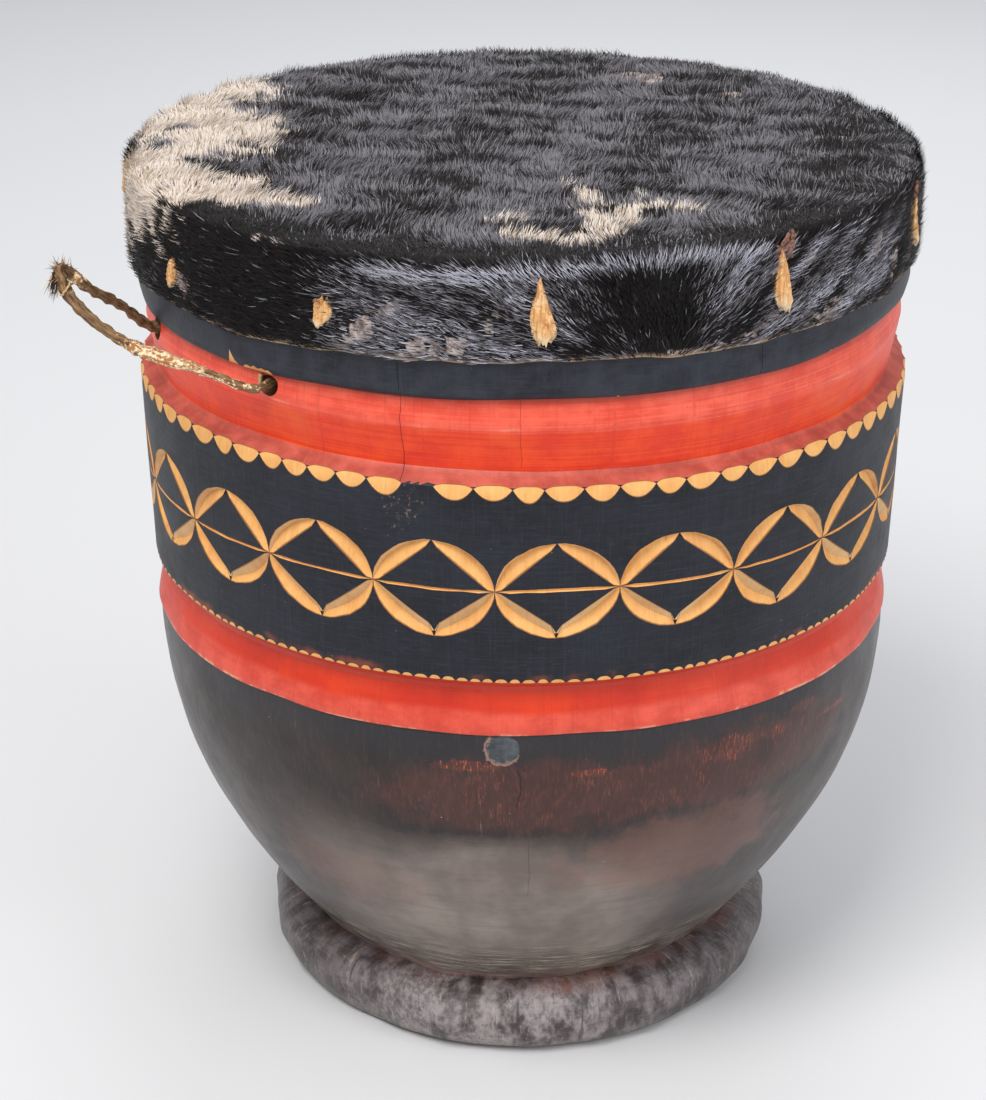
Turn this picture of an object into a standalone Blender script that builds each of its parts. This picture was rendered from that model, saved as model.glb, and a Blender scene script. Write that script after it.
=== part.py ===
"""Footed log drum: one carved log, a cowhide head held by driven pegs, and a rawhide carrying loop.

Metres, +Z up. The origin is on the floor under the drum's axis, and the front faces -Y.
Bearings are degrees round from the front, positive towards +X.
"""

import math

import bmesh
import bpy
from mathutils import Matrix, Vector
from mathutils.geometry import interpolate_bezier

# Overall sizes.
TOTAL_HEIGHT = 0.458
HEAD_RADIUS = 0.200
GAP = 0.0003

# Cowhide head.
HIDE_THICKNESS = 0.002
HIDE_EDGE_ROUND = 0.007
SKIRT_DEPTH = 0.0495

# Heights of the log's carved courses, from the rim down. The bowl takes what is left.
COLLAR_HEIGHT = 0.0642
NECK_HEIGHT = 0.0428
BAND_HEIGHT = 0.0995
MOULDING_HEIGHT = 0.0292
FOOT_HEIGHT = 0.036

# How far each course stands back from the collar's outer face.
NECK_INSET = 0.0052
NECK_BEAD_INSET = 0.0034
NECK_GROOVE_INSET = 0.0078
SHOULDER_PROUD = 0.0006
BAND_FOOT_INSET = 0.0026
COVE_INSET = 0.0085
LIP_INSET = 0.0030
BOWL_TOP_INSET = 0.0042
CHAMFER_DROP = 0.0040

# Bowl, foot and hollow.
ANKLE_RADIUS = 0.1189
FOOT_RADIUS = 0.1388
FOOT_SOLE_RADIUS = 0.1265
FOOT_BULGE_HEIGHT = 0.021
WALL_THICKNESS = 0.016
BORE_RADIUS = 0.055
BORE_HEIGHT = 0.070
BORE_MOUTH_RADIUS = 0.072
BORE_FLARE_HEIGHT = 0.028
HOLLOW_WALL_HEIGHT = 0.235
TURNED_STEPS = 64

# Pegs: bearing, height above the floor, width, height of the head, how far it stands proud.
PEG_DEPTH = 0.015
PEG_TAPER = 0.72
PEG_SIDES = 12
PEGS = [
    (1.6, 0.4345, 0.0100, 0.0290, 0.0030),
    (35.2, 0.4385, 0.0105, 0.0300, 0.0035),
    (70.5, 0.4373, 0.0080, 0.0240, 0.0030),
    (97.0, 0.4340, 0.0085, 0.0150, 0.0035),
    (127.0, 0.4365, 0.0095, 0.0130, 0.0025),
    (155.0, 0.4310, 0.0080, 0.0220, 0.0030),
    (183.0, 0.4350, 0.0100, 0.0260, 0.0030),
    (212.0, 0.4375, 0.0090, 0.0140, 0.0025),
    (243.0, 0.4330, 0.0085, 0.0170, 0.0030),
    (273.5, 0.4420, 0.0085, 0.0160, 0.0040),
    (303.1, 0.4235, 0.0075, 0.0130, 0.0025),
    (332.6, 0.4270, 0.0100, 0.0125, 0.0025),
]

# Carrying loop: a thick dried thong through two holes in the neck, knotted inside the log.
LOOP_HOLE_HEIGHT = 0.383
LOOP_HOLE_BEARINGS = (-38.3, -69.0)
LOOP_HOLE_RADIUS = 0.006
THONG_RADIUS = 0.0026
KNOT_RADIUS = 0.008
WHIPPING_WIRE_RADIUS = 0.0008
WHIPPING_ROUTE_POINT = 14
THONG_POINTS = 64
# The loop's own route outside the neck, from the front hole round the fold to the rear hole.
LOOP_ROUTE = [
    (-0.1236, -0.1562, 0.3826),
    (-0.1282, -0.1572, 0.3828),
    (-0.1345, -0.1558, 0.3842),
    (-0.1410, -0.1532, 0.3862),
    (-0.1507, -0.1498, 0.3888),
    (-0.1607, -0.1463, 0.3909),
    (-0.1689, -0.1433, 0.3924),
    (-0.1768, -0.1400, 0.3940),
    (-0.1840, -0.1363, 0.3958),
    (-0.1907, -0.1325, 0.3980),
    (-0.1970, -0.1285, 0.4008),
    (-0.2032, -0.1243, 0.4040),
    (-0.2091, -0.1201, 0.4077),
    (-0.2142, -0.1166, 0.4121),
    (-0.2178, -0.1142, 0.4170),
    (-0.2200, -0.1124, 0.4218),
    (-0.2206, -0.1104, 0.4250),
    (-0.2191, -0.1081, 0.4256),
    (-0.2163, -0.1056, 0.4224),
    (-0.2126, -0.1028, 0.4169),
    (-0.2084, -0.0990, 0.4118),
    (-0.2036, -0.0939, 0.4068),
    (-0.1986, -0.0882, 0.4018),
    (-0.1938, -0.0826, 0.3962),
    (-0.1893, -0.0773, 0.3897),
    (-0.1853, -0.0725, 0.3845),
]


def material(name, colour, roughness, metallic=0.0):
    made = bpy.data.materials.new(name)
    made.use_nodes = True
    shader = made.node_tree.nodes["Principled BSDF"]
    shader.inputs["Base Color"].default_value = (*colour, 1.0)
    shader.inputs["Roughness"].default_value = roughness
    shader.inputs["Metallic"].default_value = metallic
    return made


def clear_scene():
    for item in list(bpy.data.objects):
        bpy.data.objects.remove(item, do_unlink=True)


def collection(name):
    made = bpy.data.collections.new(name)
    bpy.context.scene.collection.children.link(made)
    return made


def add(mesh, name, group, finish=None):
    piece = bpy.data.objects.new(name, mesh)
    group.objects.link(piece)
    if finish:
        mesh.materials.append(finish)
    return piece


def curve_points(start, lean_a, lean_b, end, count):
    """Points of one Bezier stretch of a turned outline, without its first."""
    corners = [Vector((r, 0, z)) for r, z in (start, lean_a, lean_b, end)]
    return [(p.x, p.z) for p in interpolate_bezier(*corners, count)[1:]]


def arc_points(centre, radius, first, last, count):
    """Points of an arc from angle first to last, in degrees up from the horizontal."""
    angles = [math.radians(first + (last - first) * i / (count - 1)) for i in range(count)]
    return [(centre[0] + radius * math.cos(a), centre[1] + radius * math.sin(a)) for a in angles]


def turned(name, outline, closed, steps, group, finish):
    """A solid of revolution about its own Z axis, from an outline that runs down its outer side."""
    mesh = bpy.data.meshes.new(name)
    edges = [(i, i + 1) for i in range(len(outline) - 1)]
    if closed:
        edges.append((len(outline) - 1, 0))
    mesh.from_pydata([(r, 0.0, z) for r, z in outline], edges, [])
    piece = add(mesh, name, group, finish)
    screw = piece.modifiers.new("turn", "SCREW")
    screw.axis = "Z"
    screw.steps = screw.render_steps = steps
    screw.use_merge_vertices = True
    screw.merge_threshold = 0.00001
    screw.use_smooth_shade = True
    return piece


def cut(piece, cutter):
    boolean = piece.modifiers.new("cut " + cutter.name, "BOOLEAN")
    boolean.operation = "DIFFERENCE"
    boolean.object = cutter


def outwards(bearing):
    angle = math.radians(bearing)
    return Vector((math.sin(angle), -math.cos(angle), 0.0))


def facing_out(bearing, radius, height):
    """A frame at that place on the drum, whose Z points straight out from the axis."""
    out = outwards(bearing)
    up = Vector((0, 0, 1))
    turn = Matrix((up.cross(out), up, out)).transposed().to_4x4()
    return Matrix.Translation(out * radius + up * height) @ turn


# Radii and heights that follow from the sizes above.
COLLAR_RADIUS = HEAD_RADIUS - HIDE_THICKNESS - GAP
HOLLOW_RADIUS = COLLAR_RADIUS - WALL_THICKNESS
RIM_TOP = TOTAL_HEIGHT - HIDE_THICKNESS - GAP
COLLAR_FOOT = RIM_TOP - COLLAR_HEIGHT
SHOULDER_TOP = COLLAR_FOOT - NECK_HEIGHT
BAND_FOOT = SHOULDER_TOP - BAND_HEIGHT
LIP_HEIGHT = BAND_FOOT - MOULDING_HEIGHT
NECK_BEAD_RADIUS = COLLAR_RADIUS - NECK_BEAD_INSET
NECK_GROOVE_RADIUS = COLLAR_RADIUS - NECK_GROOVE_INSET
SHOULDER_RADIUS = COLLAR_RADIUS + SHOULDER_PROUD
SHOULDER_WORN_EDGE = 0.0012


def log_outline():
    """Down the outside of the log, in under the foot, and up the bore and the hollow."""
    round_off = HIDE_EDGE_ROUND - HIDE_THICKNESS - GAP
    rim = [(HOLLOW_RADIUS, RIM_TOP - 0.003), (HOLLOW_RADIUS + 0.003, RIM_TOP)]
    rim += arc_points((COLLAR_RADIUS - round_off, RIM_TOP - round_off), round_off, 90, 0, 4)
    collar = [
        (COLLAR_RADIUS, COLLAR_FOOT + 0.005),
        (COLLAR_RADIUS - 0.0022, COLLAR_FOOT),
        (COLLAR_RADIUS - NECK_INSET, COLLAR_FOOT - 0.0004),
    ]
    neck = [
        (NECK_BEAD_RADIUS, COLLAR_FOOT - 0.0135),
        (NECK_BEAD_RADIUS - 0.0008, COLLAR_FOOT - 0.018),
        (NECK_GROOVE_RADIUS + 0.001, COLLAR_FOOT - 0.0295),
        (NECK_GROOVE_RADIUS, SHOULDER_TOP + CHAMFER_DROP + 0.0018),
        (NECK_GROOVE_RADIUS + 0.0013, SHOULDER_TOP + CHAMFER_DROP),
        (SHOULDER_RADIUS - SHOULDER_WORN_EDGE, SHOULDER_TOP + SHOULDER_WORN_EDGE),
    ]
    band_foot_radius = COLLAR_RADIUS - BAND_FOOT_INSET
    middle = (SHOULDER_RADIUS + band_foot_radius) / 2
    band = [(SHOULDER_RADIUS, SHOULDER_TOP), (middle, (SHOULDER_TOP + BAND_FOOT) / 2), (band_foot_radius, BAND_FOOT)]
    moulding = [
        (COLLAR_RADIUS - COVE_INSET, BAND_FOOT - 0.0075),
        (COLLAR_RADIUS - LIP_INSET, LIP_HEIGHT + 0.0022),
        (COLLAR_RADIUS - LIP_INSET - 0.0004, LIP_HEIGHT),
    ]
    bowl_top = (COLLAR_RADIUS - BOWL_TOP_INSET, LIP_HEIGHT - 0.0008)
    ankle = (ANKLE_RADIUS, FOOT_HEIGHT)
    fall = bowl_top[1] - ankle[1]
    belly = (bowl_top[0] + 0.0045, bowl_top[1] - 0.42 * fall)
    flank = (ankle[0] + 0.038, ankle[1] + 0.26 * fall)
    bowl = [bowl_top, *curve_points(bowl_top, belly, flank, ankle, 10)]
    widest = (FOOT_RADIUS, FOOT_BULGE_HEIGHT)
    sole = (FOOT_SOLE_RADIUS, 0.0)
    foot = curve_points(ankle, (ANKLE_RADIUS + 0.011, FOOT_HEIGHT), (FOOT_RADIUS, FOOT_BULGE_HEIGHT + 0.009), widest, 5)
    foot += curve_points(widest, (FOOT_RADIUS, FOOT_BULGE_HEIGHT * 0.45), (FOOT_SOLE_RADIUS + 0.006, 0.0), sole, 5)
    bore_top = (BORE_RADIUS, BORE_HEIGHT)
    bore = [(BORE_MOUTH_RADIUS, 0.0), (BORE_RADIUS, BORE_FLARE_HEIGHT), bore_top]
    wall_foot = (HOLLOW_RADIUS, HOLLOW_WALL_HEIGHT)
    rise = wall_foot[1] - bore_top[1]
    hollow = curve_points(
        bore_top,
        (BORE_RADIUS + 0.065, BORE_HEIGHT + 0.03 * rise),
        (HOLLOW_RADIUS, BORE_HEIGHT + 0.33 * rise),
        wall_foot,
        8,
    )
    return rim + collar + neck + band + moulding + bowl + foot + bore + hollow


def hide_outline():
    """Down the outside of the head and its skirt, and back up the inside."""
    skirt_edge = TOTAL_HEIGHT - SKIRT_DEPTH
    corner = (HEAD_RADIUS - HIDE_EDGE_ROUND, TOTAL_HEIGHT - HIDE_EDGE_ROUND)
    outside = arc_points(corner, HIDE_EDGE_ROUND, 90, 0, 5)
    inside = arc_points(corner, HIDE_EDGE_ROUND - HIDE_THICKNESS, 0, 90, 5)
    edge = [(HEAD_RADIUS, skirt_edge), (HEAD_RADIUS - HIDE_THICKNESS, skirt_edge)]
    return [(0.0, TOTAL_HEIGHT), *outside, *edge, *inside, (0.0, TOTAL_HEIGHT - HIDE_THICKNESS)]


def tapered_peg(name, spec, clearance, group, finish=None):
    """A split-wood peg driven straight in; with a clearance it is the slot that holds it."""
    bearing, height, width, tall, proud = spec
    head_end = proud
    point_end = -HIDE_THICKNESS - PEG_DEPTH
    body = bmesh.new()
    bmesh.ops.create_cone(body, cap_ends=True, segments=PEG_SIDES, radius1=1.0, radius2=1.0, depth=2.0)
    for vertex in body.verts:
        along = head_end + clearance if vertex.co.z > 0 else point_end - clearance
        share = 1.0 - (1.0 - PEG_TAPER) * (head_end - along) / (head_end - point_end)
        vertex.co.x *= share * width / 2 + clearance
        vertex.co.y *= share * tall / 2 + clearance
        vertex.co.z = along
    body.transform(facing_out(bearing, HEAD_RADIUS, height))
    mesh = bpy.data.meshes.new(name)
    body.to_mesh(mesh)
    body.free()
    return add(mesh, name, group, finish)


def loop_hole_cutter(name, bearing, group):
    body = bmesh.new()
    bmesh.ops.create_cone(
        body, cap_ends=True, segments=20, radius1=LOOP_HOLE_RADIUS, radius2=LOOP_HOLE_RADIUS,
        depth=3 * WALL_THICKNESS,
    )
    body.transform(facing_out(bearing, COLLAR_RADIUS, LOOP_HOLE_HEIGHT))
    mesh = bpy.data.meshes.new(name)
    body.to_mesh(mesh)
    body.free()
    return add(mesh, name, group)


def smooth_route(anchors, count):
    """Evenly spaced points on a Catmull-Rom curve through the anchors."""
    ends = [anchors[0] * 2 - anchors[1], *anchors, anchors[-1] * 2 - anchors[-2]]
    fine = [anchors[0]]
    for a, b, c, d in zip(ends, ends[1:], ends[2:], ends[3:]):
        handles = (b, b + (c - a) / 6, c - (d - b) / 6, c)
        fine += interpolate_bezier(*handles, 9)[1:]
    steps = [0.0]
    for a, b in zip(fine, fine[1:]):
        steps.append(steps[-1] + (b - a).length)
    points = []
    index = 0
    for i in range(count):
        wanted = steps[-1] * i / (count - 1)
        while index < len(steps) - 2 and steps[index + 1] < wanted:
            index += 1
        share = (wanted - steps[index]) / (steps[index + 1] - steps[index])
        points.append(fine[index].lerp(fine[index + 1], share))
    return points


def loop_mouth(bearing):
    return outwards(bearing) * NECK_BEAD_RADIUS + Vector((0, 0, LOOP_HOLE_HEIGHT))


def loop_thong(route, group, finish, pivot):
    """The loop itself. Its ends are rounded about the holes' mouths, so that it can swing there."""
    points = [(p, 1.0) for p in route]
    for index, bearing in ((0, LOOP_HOLE_BEARINGS[0]), (-1, LOOP_HOLE_BEARINGS[1])):
        mouth = route[index]
        nose = [
            (mouth - outwards(bearing) * THONG_RADIUS * math.sin(a), math.cos(a))
            for a in (math.radians(25), math.radians(48), math.radians(68))
        ]
        points = nose[::-1] + points if index == 0 else points + nose
    data = bpy.data.curves.new("loop_thong", "CURVE")
    data.dimensions = "3D"
    data.bevel_depth = THONG_RADIUS
    data.bevel_resolution = 2
    data.use_fill_caps = True
    spline = data.splines.new("POLY")
    spline.points.add(len(points) - 1)
    for target, (place, radius) in zip(spline.points, points):
        target.co = (*(place - pivot), 1.0)
        target.radius = radius
    data.materials.append(finish)
    piece = bpy.data.objects.new("loop_thong", data)
    piece.location = pivot
    group.objects.link(piece)
    return piece


def loop_end(name, bearing, group, finish):
    """The stretch of thong inside a hole, and the knot that bears on the log's inner wall."""
    seat = KNOT_RADIUS + GAP
    knot_centre = -math.sqrt(seat**2 - LOOP_HOLE_RADIUS**2)
    stem_end = NECK_BEAD_RADIUS - THONG_RADIUS - GAP - HOLLOW_RADIUS
    stem_angle = math.degrees(math.acos(THONG_RADIUS / KNOT_RADIUS))
    outline = [(0.0, stem_end), (THONG_RADIUS, stem_end)]
    outline += arc_points((0.0, knot_centre), KNOT_RADIUS, stem_angle, -90, 9)[:-1]
    outline.append((0.0, knot_centre - KNOT_RADIUS))
    piece = turned(name, outline, False, 16, group, finish)
    piece.matrix_world = facing_out(bearing, HOLLOW_RADIUS, LOOP_HOLE_HEIGHT)
    return piece


def whipping(route, group, finish, pivot):
    """Two turns of twine drawn tight round one strand near the fold, as one ring."""
    anchor = Vector(LOOP_ROUTE[WHIPPING_ROUTE_POINT])
    nearest = min(range(len(route)), key=lambda i: (route[i] - anchor).length)
    along = (route[nearest + 1] - route[nearest - 1]).normalized()
    inner = THONG_RADIUS + GAP
    height = 2 * WHIPPING_WIRE_RADIUS
    outline = [
        (inner, height),
        (inner + WHIPPING_WIRE_RADIUS, height + WHIPPING_WIRE_RADIUS / 2),
        (inner + 2 * WHIPPING_WIRE_RADIUS, height),
        (inner + 2 * WHIPPING_WIRE_RADIUS, -height),
        (inner + WHIPPING_WIRE_RADIUS, -height - WHIPPING_WIRE_RADIUS / 2),
        (inner, -height),
    ]
    piece = turned("loop_whipping", outline, True, 16, group, finish)
    turn = along.to_track_quat("Z", "Y").to_matrix().to_4x4()
    piece.matrix_world = Matrix.Translation(route[nearest]) @ turn
    return piece


def build():
    clear_scene()
    drum = collection("log_drum")
    cutters = collection("cutters")
    painted_wood = material("painted_log", (0.05, 0.045, 0.05), 0.45)
    hide = material("cowhide", (0.03, 0.03, 0.035), 0.8)
    raw_wood = material("split_peg_wood", (0.72, 0.45, 0.22), 0.7)
    rawhide = material("dried_rawhide", (0.28, 0.16, 0.08), 0.75)
    twine = material("sisal_twine", (0.75, 0.66, 0.48), 0.85)

    shell = turned("shell", log_outline(), True, TURNED_STEPS, drum, painted_wood)
    head = turned("drumhead", hide_outline(), False, TURNED_STEPS, drum, hide)
    for number, spec in enumerate(PEGS, 1):
        tapered_peg(f"peg_{number:02d}", spec, 0.0, drum, raw_wood)
        slot = tapered_peg(f"slot_{number:02d}", spec, GAP, cutters)
        cut(shell, slot)
        cut(head, slot)
    for bearing, place in zip(LOOP_HOLE_BEARINGS, ("front", "rear")):
        cut(shell, loop_hole_cutter(f"loop_hole_{place}", bearing, cutters))
        loop_end(f"loop_knot_{place}", bearing, drum, rawhide)

    mouths = [loop_mouth(bearing) for bearing in LOOP_HOLE_BEARINGS]
    pivot = (mouths[0] + mouths[1]) / 2
    route = smooth_route([mouths[0], *(Vector(p) for p in LOOP_ROUTE), mouths[1]], THONG_POINTS)
    loop_thong(route, drum, rawhide, pivot)
    whipping(route, drum, twine, pivot)
    for cutter in cutters.objects:
        cutter.hide_render = True
        cutter.display_type = "WIRE"


build()
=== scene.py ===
"""Footed log drum: its looks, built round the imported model. Metres, +Z up.

The origin is on the floor under the drum's axis and the front faces -Y. A bearing is an angle round the
drum from the front, positive towards +X.
"""

import math

import bmesh
import bpy
import numpy as np
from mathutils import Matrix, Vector
from mathutils.geometry import delaunay_2d_cdt, interpolate_bezier
from mathutils.kdtree import KDTree


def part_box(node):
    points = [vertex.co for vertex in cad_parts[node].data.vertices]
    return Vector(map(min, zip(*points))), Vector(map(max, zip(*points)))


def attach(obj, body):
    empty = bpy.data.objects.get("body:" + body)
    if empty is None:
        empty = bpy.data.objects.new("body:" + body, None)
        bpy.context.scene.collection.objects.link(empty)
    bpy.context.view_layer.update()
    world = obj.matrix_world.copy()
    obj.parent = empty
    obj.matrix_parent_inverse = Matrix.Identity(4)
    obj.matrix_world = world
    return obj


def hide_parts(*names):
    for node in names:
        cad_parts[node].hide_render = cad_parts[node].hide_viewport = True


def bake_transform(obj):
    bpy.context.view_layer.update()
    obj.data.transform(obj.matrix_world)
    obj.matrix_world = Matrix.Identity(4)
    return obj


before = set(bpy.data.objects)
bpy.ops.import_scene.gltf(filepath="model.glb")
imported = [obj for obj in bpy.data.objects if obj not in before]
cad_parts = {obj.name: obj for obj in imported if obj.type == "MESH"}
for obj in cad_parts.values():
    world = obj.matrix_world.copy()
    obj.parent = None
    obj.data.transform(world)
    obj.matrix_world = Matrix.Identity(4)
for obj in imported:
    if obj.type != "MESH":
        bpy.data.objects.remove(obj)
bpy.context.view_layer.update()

# ---------------------------------------------------------------------------------------------------------
# The camera stands in front of the drum, a little left of its axis, and looks down on it.
camera_data = bpy.data.cameras.new("camera")
camera_data.lens = 86.5
camera = bpy.data.objects.new("camera", camera_data)
camera.location = (-0.0155, -1.307, 0.809)
camera.rotation_euler = (math.radians(66.16), 0.0, 0.0)
bpy.context.scene.collection.objects.link(camera)
bpy.context.scene.camera = camera

# ---------------------------------------------------------------------------------------------------------
# Carrying loop: one strip of rawhide twisted wet round itself and dried stiff. It goes in through two holes
# in the neck and is knotted inside the log. Where the hair and skin have rubbed off, pale fibre shows.
LOOP_ROUTE = [
    (-0.1236, -0.1562, 0.3826), (-0.1282, -0.1572, 0.3828), (-0.1345, -0.1558, 0.3842),
    (-0.1410, -0.1532, 0.3862), (-0.1507, -0.1498, 0.3888), (-0.1607, -0.1463, 0.3909),
    (-0.1689, -0.1433, 0.3924), (-0.1768, -0.1400, 0.3940), (-0.1840, -0.1363, 0.3958),
    (-0.1907, -0.1325, 0.3980), (-0.1970, -0.1285, 0.4008), (-0.2032, -0.1243, 0.4040),
    (-0.2091, -0.1201, 0.4077), (-0.2142, -0.1166, 0.4121), (-0.2178, -0.1142, 0.4170),
    (-0.2200, -0.1124, 0.4218), (-0.2206, -0.1104, 0.4250), (-0.2191, -0.1081, 0.4256),
    (-0.2163, -0.1056, 0.4224), (-0.2126, -0.1028, 0.4169), (-0.2084, -0.0990, 0.4118),
    (-0.2036, -0.0939, 0.4068), (-0.1986, -0.0882, 0.4018), (-0.1938, -0.0826, 0.3962),
    (-0.1893, -0.0773, 0.3897), (-0.1853, -0.0725, 0.3845),
]
HOLE_BEARINGS = (math.radians(-38.3), math.radians(-69.0))
HOLE_HEIGHT = 0.383
HOLE_RADIUS = 0.006
NECK_RADIUS = 0.1943
HOLLOW_RADIUS = 0.1817


def outwards(bearing):
    return Vector((math.sin(bearing), -math.cos(bearing), 0.0))


def srgb(red, green, blue):
    """A colour as a paint card gives it, 0 to 255, turned into the shader's own scale."""
    shares = [c / 255 for c in (red, green, blue)]
    return (*[c / 12.92 if c <= 0.04045 else ((c + 0.055) / 1.055) ** 2.4 for c in shares], 1.0)


class Wire:
    """A value on its way through a tree of nodes. Arithmetic on it adds the nodes that do it."""

    def __init__(self, tree, socket):
        self.tree, self.socket = tree, socket

    def math(self, operation, *values):
        return self.tree.node("ShaderNodeMath", {"operation": operation}, dict(enumerate(values)))

    def __add__(self, other):
        return self.math("ADD", self, other)

    def __sub__(self, other):
        return self.math("SUBTRACT", self, other)

    def __rsub__(self, other):
        return self.math("SUBTRACT", other, self)

    def __mul__(self, other):
        return self.math("MULTIPLY", self, other)

    def __truediv__(self, other):
        return self.math("DIVIDE", self, other)

    def __gt__(self, other):
        return self.math("GREATER_THAN", self, other)

    def __lt__(self, other):
        return self.math("LESS_THAN", self, other)

    def __abs__(self):
        return self.math("ABSOLUTE", self)

    def least(self, other):
        return self.math("MINIMUM", self, other)

    def most(self, other):
        return self.math("MAXIMUM", self, other)

    __radd__, __rmul__ = __add__, __mul__


class Tree:
    """A tree of nodes, of a material or of a modifier."""

    def __init__(self, tree):
        self.tree = tree

    def node(self, kind, settings=(), sockets=(), out=0):
        """One node: its settings go in first, then the values or wires of its sockets."""
        made = self.tree.nodes.new(kind)
        for name, value in dict(settings).items():
            setattr(made, name, value)
        for name, value in dict(sockets).items():
            if isinstance(value, Wire):
                self.tree.links.new(value.socket, made.inputs[name])
            else:
                made.inputs[name].default_value = value
        return Wire(self, made.outputs[out])

    def attribute(self, name):
        return self.node("ShaderNodeAttribute", {"attribute_name": name}, out="Fac")

    def noise(self, where, scale, detail=3.0, rough=0.55):
        return self.node(
            "ShaderNodeTexNoise", {},
            {"Vector": where, "Scale": scale, "Detail": detail, "Roughness": rough}
        )

    def stretch(self, where, x, y, z):
        """The same place with its three directions drawn out or pressed together."""
        return self.node("ShaderNodeMapping", {}, {"Vector": where, "Scale": (x, y, z)})

    def rise(self, value, low, high):
        """0 below low, 1 above high, and smooth between them."""
        ends = {"Value": value, "From Min": low, "From Max": high}
        return self.node("ShaderNodeMapRange", {"interpolation_type": "SMOOTHSTEP"}, ends)

    def mix(self, share, first, second):
        return self.node("ShaderNodeMix", {"data_type": "RGBA"}, {0: share, 6: first, 7: second}, 2)


class Finish(Tree):
    """A material: a Principled surface and what changes over it."""

    def __init__(self, name, **constants):
        self.material = bpy.data.materials.new(name)
        self.material.use_nodes = True
        super().__init__(self.material.node_tree)
        self.shader = self.tree.nodes["Principled BSDF"]
        for socket, value in constants.items():
            self.shader.inputs[socket.replace("_", " ")].default_value = value
        self.place = self.node("ShaderNodeTexCoord", out="Object")

    def surface(self, colour=None, roughness=None, height=None, relief=0.001, coat=None):
        """Feeds the surface. Height is 0 to 1, and relief is what 1 stands for, in metres."""
        for socket, wire in (("Base Color", colour), ("Roughness", roughness), ("Coat Weight", coat)):
            if wire is not None:
                self.tree.links.new(wire.socket, self.shader.inputs[socket])
        if height is not None:
            bump = self.node("ShaderNodeBump", {}, {"Height": height, "Distance": relief})
            self.tree.links.new(bump.socket, self.shader.inputs["Normal"])
        return self.material


def piece_from(name, points, faces, *materials):
    mesh = bpy.data.meshes.new(name)
    mesh.from_pydata([tuple(p) for p in points], [], [tuple(f) for f in faces])
    for finish in materials:
        mesh.materials.append(finish)
    piece = bpy.data.objects.new(name, mesh)
    bpy.context.scene.collection.objects.link(piece)
    return piece


def keep_on_points(piece, name, values):
    """Gives each point of a piece a number or a direction, under a name."""
    values = np.asarray(values, np.float32)
    kind, field = ("FLOAT", "value") if values.ndim == 1 else ("FLOAT_VECTOR", "vector")
    piece.data.attributes.new(name, kind, "POINT").data.foreach_set(field, values.ravel())


def even_route(anchors, step):
    """Points about a step apart on a smooth curve through the anchors."""
    anchors = [Vector(a) for a in anchors]
    ends = [anchors[0] * 2 - anchors[1], *anchors, anchors[-1] * 2 - anchors[-2]]
    fine = [anchors[0]]
    for a, b, c, d in zip(ends, ends[1:], ends[2:], ends[3:]):
        fine += interpolate_bezier(b, b + (c - a) / 6, c - (d - b) / 6, c, 9)[1:]
    fine = np.array(fine)
    run = np.concatenate([[0.0], np.cumsum(np.linalg.norm(np.diff(fine, axis=0), axis=1))])
    wanted = np.linspace(0.0, run[-1], max(2, round(run[-1] / step) + 1))
    return np.stack([np.interp(wanted, run, fine[:, i]) for i in range(3)], axis=1)


def carried_frames(route):
    """Two directions across the route at each of its points, carried along it without a twist."""
    forward = np.gradient(route, axis=0)
    forward /= np.linalg.norm(forward, axis=1)[:, None]
    side = np.cross(forward[0], (0.0, 0.0, 1.0))
    sides = []
    for ahead in forward:
        side = side - ahead * (side @ ahead)
        side = side / np.linalg.norm(side)
        sides.append(side)
    sides = np.array(sides)
    return forward, sides, np.cross(forward, sides)


def tube(name, route, reach, sides, finish):
    """A closed tube round a route. Reach gives the surface's distance from it, for each point and each side."""
    forward, across, up = carried_frames(route)
    angles = np.linspace(0, 2 * math.pi, sides, endpoint=False)
    ring = np.cos(angles)[None, :, None] * across[:, None] + np.sin(angles)[None, :, None] * up[:, None]
    points = (route[:, None] + ring * reach[:, :, None]).reshape(-1, 3)
    count = len(route)
    faces = []
    for i in range(count - 1):
        for j in range(sides):
            a, b = i * sides + j, i * sides + (j + 1) % sides
            faces.append((a, a + sides, b + sides, b))
    low, high = count * sides, count * sides + 1
    faces += [(low, j, (j + 1) % sides) for j in range(sides)]
    faces += [(high, (count - 1) * sides + (j + 1) % sides, (count - 1) * sides + j) for j in range(sides)]
    piece = piece_from(name, [*points, route[0], route[-1]], faces, finish)
    piece.data.shade_smooth()
    unwrap = piece.data.uv_layers.new(name="OFBake")
    for polygon in piece.data.polygons:
        wraps = any(piece.data.loops[i].vertex_index % sides == 0 for i in polygon.loop_indices)
        far = any(piece.data.loops[i].vertex_index % sides == sides - 1 for i in polygon.loop_indices)
        for i in polygon.loop_indices:
            vertex = piece.data.loops[i].vertex_index
            along = min(vertex // sides, count - 1) / (count - 1) if vertex < low else float(vertex == high)
            turn = vertex % sides if vertex < low else sides / 2
            if wraps and far and vertex < low and turn == 0:
                turn = sides
            unwrap.data[i].uv = (along, turn / sides)
    return piece


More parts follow.
